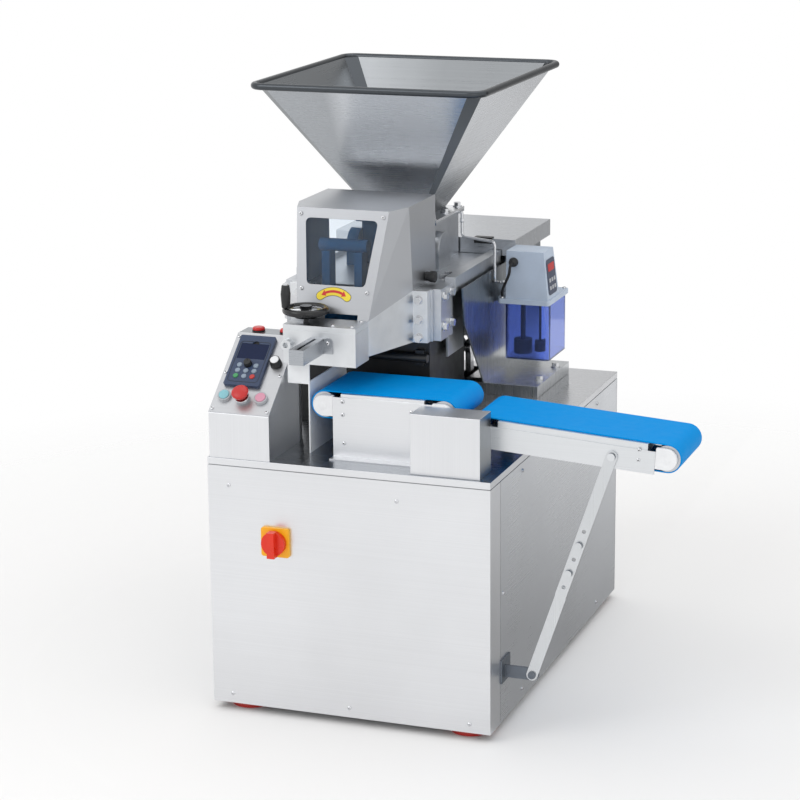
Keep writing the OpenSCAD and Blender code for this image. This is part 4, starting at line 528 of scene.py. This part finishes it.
def lathe(bm, origin, axis, profile, count):
    """Turned body: profile is (radius, height) pairs in millimetres, along the axis."""
    axis = Vector(axis).normalized()
    side = axis.orthogonal().normalized()
    other = axis.cross(side)
    rings = []
    for r, h in profile:
        mid = origin + axis * h / 1000
        rings.append(ring(bm, mid, side, other, r, count) if r else [bm.verts.new(mid)])
    for a, b in zip(rings, rings[1:]):
        for k in range(count):
            n = (k + 1) % count
            if len(a) == 1:
                bm.faces.new((a[0], b[n], b[k]))
            elif len(b) == 1:
                bm.faces.new((a[k], a[n], b[0]))
            else:
                bm.faces.new((a[k], a[n], b[n], b[k]))


def slab(bm, points, lift):
    """Flat piece: an outline of points, thickened along a vector."""
    low = [bm.verts.new(p) for p in points]
    high = [bm.verts.new(p + lift) for p in points]
    bm.faces.new(list(reversed(low)))
    bm.faces.new(high)
    for k in range(len(low)):
        n = (k + 1) % len(low)
        bm.faces.new((low[k], low[n], high[n], high[k]))


def swept(bm, route, radius, count=16):
    """A round tube along a route, with its ends closed."""
    rings = []
    normal = None
    for k, p in enumerate(route):
        axis = (route[min(k + 1, len(route) - 1)] - route[max(k - 1, 0)]).normalized()
        if normal is None:
            normal = axis.orthogonal().normalized()
        else:
            normal = (normal - axis * normal.dot(axis)).normalized()
        rings.append(ring(bm, p, normal, axis.cross(normal), radius, count))
    for a, b in zip(rings, rings[1:]):
        for j in range(count):
            n = (j + 1) % count
            bm.faces.new((a[j], a[n], b[n], b[j]))
    bm.faces.new(list(reversed(rings[0])))
    bm.faces.new(rings[-1])


def frame_strip(bm, outer, inner, place, lift):
    """Flat ring between two outlines of the same number of points."""
    n = len(outer)
    low_o, low_i = [[bm.verts.new(place(*q)) for q in loop] for loop in (outer, inner)]
    high_o, high_i = [[bm.verts.new(place(*q) + lift) for q in loop] for loop in (outer, inner)]
    for k in range(n):
        m = (k + 1) % n
        bm.faces.new((high_o[k], high_o[m], high_i[m], high_i[k]))
        bm.faces.new((low_o[m], low_o[k], low_i[k], low_i[m]))
        bm.faces.new((low_o[k], low_o[m], high_o[m], high_o[k]))
        bm.faces.new((low_i[m], low_i[k], high_i[k], high_i[m]))


def rounded_outline(width, height, corner, count=6):
    pts = []
    for sx, sy, start in ((1, 1, 0), (-1, 1, 90), (-1, -1, 180), (1, -1, 270)):
        for k in range(count + 1):
            a = math.radians(start + 90 * k / count)
            pts.append((sx * (width / 2 - corner) + corner * math.cos(a),
                        sy * (height / 2 - corner) + corner * math.sin(a)))
    return pts


def rounded_route(points, radius, steps=8):
    """A route through points with each corner turned into an arc."""
    out = [points[0]]
    for a, b, c in zip(points, points[1:], points[2:]):
        into, away = (a - b), (c - b)
        half = into.angle(away) / 2
        back = min(radius / 1000 / math.tan(half), into.length * 0.48, away.length * 0.48)
        p, q = b + into.normalized() * back, b + away.normalized() * back
        for k in range(steps + 1):
            t = k / steps
            out.append((1 - t) ** 2 * p + 2 * (1 - t) * t * b + t * t * q)
    out.append(points[-1])
    return out


def piece(name, bm, look, body, smooth=35.0):
    """A mesh made into a piece that rides on a body, with edges sharper than smooth degrees kept."""
    bmesh.ops.recalc_face_normals(bm, faces=bm.faces)
    data = bpy.data.meshes.new(name)
    bm.to_mesh(data)
    bm.free()
    data.materials.append(LOOKS[look])
    data.shade_smooth()
    data.set_sharp_from_angle(angle=math.radians(smooth))
    obj = shown(bpy.data.objects.new(name, data))
    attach(obj, body)
    return obj


def turned_piece(name, spot, axis, profile, look, body, count=32):
    bm = bmesh.new()
    lathe(bm, spot, axis, profile, count)
    return piece(name, bm, look, body)


def flat_piece(name, points, lift, look):
    bm = bmesh.new()
    slab(bm, points, lift)
    return piece(name, bm, look, "machine")


SCREW_SIDES, SOCKET_ROW = 18, 5


def screw_heads(name, spots, body="machine"):
    """Domed socket-head screws, each spot a point, the way it faces and its head diameter."""
    bm = bmesh.new()
    for point, facing, d in spots:
        r, h = d / 2, d * 0.45
        profile = [(0, 0), (r, 0), (r, h * 0.35), (r * 0.86, h * 0.78), (r * 0.55, h), (r * 0.34, h * 1.02),
                   (r * 0.30, h * 0.45), (0, h * 0.40)]
        lathe(bm, point - facing * 0.0003, facing, profile, SCREW_SIDES)
    obj = piece(name, bm, "bright_screw", body, 28)
    # The sockets are coloured black: painted shade in the recess
    obj.data.materials.append(LOOKS["black_mark_and_painted_shade"])
    rows = len(profile) - 1
    for face in obj.data.polygons:
        if face.index // SCREW_SIDES % rows >= SOCKET_ROW:
            face.material_index = 1


# Pump lead, from the gland down to the flange: points, directions and handle lengths
LEAD_D = 6.5
LEAD = [((160, 679, 915), (0, -1, 0), 12), ((158.5, 659.5, 899), (-0.05, -0.05, -1), 12),
        ((140, 672, 857), (-0.45, 0.42, -0.9), 14), ((130, 693, 826), (0, 0.05, -1), 12)]
curve = bpy.data.curves.new("pump_lead_smooth", "CURVE")
curve.dimensions = "3D"
curve.bevel_depth = LEAD_D / 2000
curve.bevel_resolution = 5
curve.resolution_u = 14
curve.use_fill_caps = True
spline = curve.splines.new("BEZIER")
spline.bezier_points.add(len(LEAD) - 1)
for knot, (p, d, reach) in zip(spline.bezier_points, LEAD):
    way = Vector(d).normalized() * reach / 1000
    knot.co = at(*p)
    knot.handle_left_type = knot.handle_right_type = "FREE"
    knot.handle_left = knot.co - way
    knot.handle_right = knot.co + way
curve.materials.append(LOOKS["rubber_black"])
lead = shown(bpy.data.objects.new("pump_lead_smooth", curve))
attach(lead, "machine")
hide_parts("pump_lead")
GLAND = [(0, 0), (11, 0), (11, 4), (9.8, 4.6), (9.8, 9), (8, 10.5), (4.4, 15), (0, 15)]
gland = turned_piece("pump_lead_gland", at(160, 688, 915), FRONT, GLAND,
                     "black_plastic", "machine", 24)


# Oil pipe with its two union nuts
PIPE = [at(11, 731, 1018), at(18, 731, 1018), at(18, 731, 960), at(121.1, 665, 965), at(121.1, 665, 871),
        at(121.1, 697, 863), at(139, 697, 863)]
NUTS = [(PIPE[2] + UP * 0.034, UP), (PIPE[5] + Vector((0.006, 0, 0)), (1, 0, 0))]
bm = bmesh.new()
swept(bm, rounded_route(PIPE, 13), 3.5)
for spot, way in NUTS:
    lathe(bm, spot, way, [(3.4, 0), (5.6, 0.6), (6, 1.4), (6, 8), (5.4, 9), (3.4, 9.6)], 6)
pipe = piece("oil_pipe_bent", bm, "bright_screw", "machine")
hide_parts("oil_pipe")

# Keypad: display glass, the dark line round its keys and the notch at its top
flat_piece("keypad_display",
           [on_slant(KEY_MID_U + u, KEY_MID_V + 25 + v, 7.6) for u, v in rounded_outline(65, 41, 2)],
           SLANT_N * 0.0008, "display_dark")
bm = bmesh.new()
frame_strip(bm, rounded_outline(73, 112, 9), rounded_outline(70.6, 109.6, 8),
            lambda u, v: on_slant(KEY_MID_U + u, KEY_MID_V - 4 + v, 8.9), SLANT_N * 0.0004)
piece("keypad_line", bm, "key_line", "machine")
turned_piece("keypad_notch", on_slant(KEY_MID_U, KEY_MID_V + 46, 4.9), SLANT_N,
             [(0, 0), (7.7, 0), (7.7, 0.7), (0, 0.7)], "black_mark_and_painted_shade", "machine")

# White face on the speed knob
turned_piece("speed_knob_face", on_slant(46, 140, 17.2), SLANT_N,
             [(0, 0), (9.6, 0), (9.6, 0.8), (8.8, 1.4), (0, 1.6)],
             "white_plastic", "speed_knob")

# Neck ring under the emergency stop, low enough for the pressed head
turned_piece("estop_ring", on_slant(-2.5, 41, 7), SLANT_N,
             [(11.5, 0), (16.5, 0), (16.5, 0.9), (15.9, 1.5), (11.5, 1.5)],
             "bright_screw", "machine")

# Screws on the control panel, hood, head block, pump flange, scale tube's plate and both conveyors
screw_heads("panel_edge_screws",
            [(on_slant(s * 64.5, v), SLANT_N, 8.5) for s in (-1, 1) for v in (9, 108, 209)])
screw_heads("hood_corner_screws",
            [(on_hood(u, v), HOOD_N, 9.5) for u, v in ((-97, 227), (96, 227), (-79, 63), (75, 61))])
screw_heads("block_top_screws",
            [(at(x, y, BLOCK_TOP_Z), UP, 9) for x, y in ((-16, 90), (-16, 146), (-60, 90))])
screw_heads("pump_flange_screws",
            [(at(x, y, FLANGE_TOP_Z), UP, 9) for x, y in ((131, 692), (239, 692), (239, 840), (131, 840))])
screw_heads("scale_plate_screw", [(at(-66, 74, 842), FRONT, 9)])
screw_heads("infeed_plate_screws",
            [(at(x, CONVEYOR_FACE_Y, z), FRONT, 9)
             for x, z in ((-38, 711), (-38, 682), (-36, 618), (120, 700))])
screw_heads("outfeed_rail_screws",
            [(on_rail(352, w, CONVEYOR_FACE_Y), FRONT, 8) for w in (14, -8)], "outfeed")

# Knobs on the hood's hand screws
KNOB = [(0, 0), (9, 0), (9, 3), (12.5, 4), (13, 6), (13, 15), (12, 17), (6, 18.2), (0, 18.2)]
bm = bmesh.new()
for s in (-1, 1):
    lathe(bm, at(HEAD_X + s * 138, KNOB_Y, KNOB_Z), (s, 0, 0), KNOB, 28)
piece("hood_knobs", bm, "black_plastic", "machine")

# Clip on the lid's front edge
CLIP_LEFT, CLIP_RIGHT, CLIP_Y = 38, 82, 760
bm = bmesh.new()
slab(bm, [at(x, CLIP_Y, z) for x, z in ((CLIP_LEFT, 940), (CLIP_RIGHT, 940),
                                        (CLIP_RIGHT, 955), (CLIP_LEFT, 955))], Vector((0, 0.005, 0)))
slab(bm, [at(x, y, 952) for x, y in ((CLIP_LEFT, CLIP_Y), (CLIP_RIGHT, CLIP_Y),
                                     (CLIP_RIGHT, CLIP_Y + 20), (CLIP_LEFT, CLIP_Y + 20))], UP * 0.003)
soften(piece("lid_clip", bm, "black_paint", "machine"), 1.0, False)

# Plain covers over the shaft holes in the conveyors' end caps
for name, spot, body in (("infeed_cap_cover", at(-85, CAP_FACE_Y, 699), "machine"),
                         ("outfeed_cap_cover", on_rail(410, 0, CAP_FACE_Y), "outfeed")):
    turned_piece(name, spot, FRONT, [(0, 0), (9.2, 0), (9.2, 0.6), (8.6, 0.9), (0, 0.9)],
                 "white_plastic", body)

# Turning mark under the window: a yellow arc with a red double arrow
MARK_U, MARK_V, MARK_R = -2, 11, 49


def on_mark(u, v, n):
    return on_hood(MARK_U + u, MARK_V + v, n)


def arc_strip(half_deg, width, n, count=24, ends=8):
    """Outline of a strip along the mark's arc, with round ends where ends is set."""
    flat = []
    for side, order in ((1, range(count + 1)), (-1, range(count, -1, -1))):
        for k in order:
            a = math.radians(90 - half_deg + 2 * half_deg * k / count)
            r = MARK_R + side * width / 2
            flat.append((r * math.cos(a), r * math.sin(a)))
        a = math.radians(90 + side * half_deg)
        for k in range(1, ends):
            b = a + math.pi * (k / ends + (0 if side > 0 else 1))
            flat.append((MARK_R * math.cos(a) + width / 2 * math.cos(b),
                         MARK_R * math.sin(a) + width / 2 * math.sin(b)))
    return [on_mark(u, v, n) for u, v in flat]


ARROW_LIFT, ARROW_THICK, ARROW_HALF = 0.4, HOOD_N * 0.0005, 24
flat_piece("turn_mark_edge", arc_strip(40, 19.4, -0.2), HOOD_N * 0.0005, "black_mark_and_painted_shade")
flat_piece("turn_mark", arc_strip(40, 17.2, -0.2), HOOD_N * 0.0008, "mark_yellow")
bm = bmesh.new()
slab(bm, arc_strip(ARROW_HALF, 5.5, ARROW_LIFT, ends=0), ARROW_THICK)
for s in (-1, 1):
    tip = math.radians(90 - s * (ARROW_HALF + 12))
    base = math.radians(90 - s * ARROW_HALF)
    slab(bm, [on_mark(r * math.cos(a), r * math.sin(a), ARROW_LIFT)
              for r, a in ((MARK_R, tip), (MARK_R + 7, base), (MARK_R - 7, base))], ARROW_THICK)
piece("turn_mark_arrow", bm, "mark_red", "machine")


# Control face on the right side of the pump's cap: dark plate, red display and light keys
def cap_plate(name, spots, n, thick, look):
    bm = bmesh.new()
    for w, v, width, height in spots:
        outline = rounded_outline(width, height, min(width, height) * 0.14)
        slab(bm, [on_cap(w + a, v + b, n) for a, b in outline], CAP_N * thick / 1000)
    piece(name, bm, look, "machine")


cap_plate("pump_control_plate", [(44, 52, 64, 84)], -0.4, 2.0, "pump_face")
cap_plate("pump_control_display", [(44, 74, 46, 18)], 1.4, 0.8, "estop_red")
cap_plate("pump_control_keys", [(w, v, 11, 9) for v in (44, 26) for w in (26, 44, 62)],
          1.4, 1.2, "ring_light")

# Switch mark on the isolator's plate, above the knob
flat_piece("isolator_mark", [at(-165.5 + x, -6.05, 435 + z) for x, z in rounded_outline(9, 4, 1)],
           Vector((0, 0.0004, 0)), "black_mark_and_painted_shade")

# Floor, which fades into the white backdrop
bm = bmesh.new()
bmesh.ops.create_grid(bm, x_segments=2, y_segments=2, size=14)
floor_data = bpy.data.meshes.new("floor")
bm.to_mesh(floor_data)
bm.free()
floor = shown(bpy.data.objects.new("floor", floor_data))
ground = bpy.data.materials.new("ground")
ground.use_nodes = True
tree = ground.node_tree
pale = tree.nodes["Principled BSDF"]
pale.inputs["Base Color"].default_value = (0.92, 0.915, 0.91, 1)
pale.inputs["Roughness"].default_value = 0.75
pale.inputs["Specular IOR Level"].default_value = 0.2
spot = add_node(tree, "TexCoord", {}).outputs["Object"]
away = add_node(tree, "VectorMath", {0: spot})
away.operation = "LENGTH"
fade = add_node(tree, "MapRange", {"Value": away.outputs["Value"], "From Min": 1.1, "From Max": 2.6})
gone = add_node(tree, "BsdfTransparent", {})
faded = add_node(tree, "MixShader",
                 {0: fade.outputs["Result"], 1: pale.outputs["BSDF"], 2: gone.outputs["BSDF"]})
tree.links.new(faded.outputs["Shader"], tree.nodes["Material Output"].inputs["Surface"])
floor_data.materials.append(ground)

# World: white where it is seen, also in metal and glass, and a softer level as light
world = bpy.data.worlds.new("studio")
bpy.context.scene.world = world
world.use_nodes = True
tree = world.node_tree
back = tree.nodes["Background"]
back.inputs["Color"].default_value = (1, 1, 1, 1)
rays = add_node(tree, "LightPath", {}).outputs
seen = rays["Is Camera Ray"]
for ray in ("Is Glossy Ray", "Is Transmission Ray"):
    either = add_node(tree, "Math", {0: seen, 1: rays[ray]})
    either.operation = "MAXIMUM"
    seen = either.outputs[0]
level = add_node(tree, "MapRange", {"Value": seen, "To Min": 0.85, "To Max": 1.0})
tree.links.new(level.outputs["Result"], back.inputs["Strength"])


# Soft lamps, aimed at the middle of the machine
def lamp(name, spot, size, power):
    data = bpy.data.lights.new(name, "AREA")
    data.shape = "RECTANGLE"
    data.size = data.size_y = size
    data.energy = power
    obj = shown(bpy.data.objects.new(name, data))
    obj.location = spot
    obj.rotation_euler = (Vector((0, 0, 0.6)) - Vector(spot)).to_track_quat("-Z", "Y").to_euler()


lamp("key", (-2.6, -3.2, 3.6), 2.4, 44)
lamp("fill", (2.8, -4.2, 2.2), 2.0, 10)
lamp("top", (0.2, 0.6, 4.2), 3.0, 24)


def flag(name, corners, low, high, axis, start, stop):
    """Grey studio flag that only polished faces see, from one level to another along an axis."""
    data = bpy.data.meshes.new(name)
    data.from_pydata(corners, [], [(0, 1, 2, 3)])
    obj = shown(bpy.data.objects.new(name, data))
    mat = bpy.data.materials.new(name)
    mat.use_nodes = True
    tree = mat.node_tree
    tree.nodes.remove(tree.nodes["Principled BSDF"])
    split = add_node(tree, "SeparateXYZ", {"Vector": add_node(tree, "TexCoord", {}).outputs["Object"]})
    spread = add_node(tree, "MapRange", {"Value": split.outputs[axis], "From Min": start, "From Max": stop,
                                         "To Min": low, "To Max": high})
    glow = add_node(tree, "Emission", {"Strength": spread.outputs["Result"]})
    tree.links.new(glow.outputs["Emission"], tree.nodes["Material Output"].inputs["Surface"])
    data.materials.append(mat)
    obj.visible_camera = False
    obj.visible_diffuse = False
    obj.visible_shadow = False
    obj.visible_transmission = False


flag("flag_back", [(-1.3, 3.6, -2.0), (5.5, 3.6, -2.0), (5.5, 3.6, 3.4), (-1.3, 3.6, 3.4)],
     0.25, 0.7, "X", 2.5, -1.3)
flag("flag_low", [(0.16, -0.44, 0.003), (3.4, -0.44, 0.003), (3.4, 3.5, 0.003), (0.16, 3.5, 0.003)],
     0.34, 0.92, "Y", 0.2, 2.6)
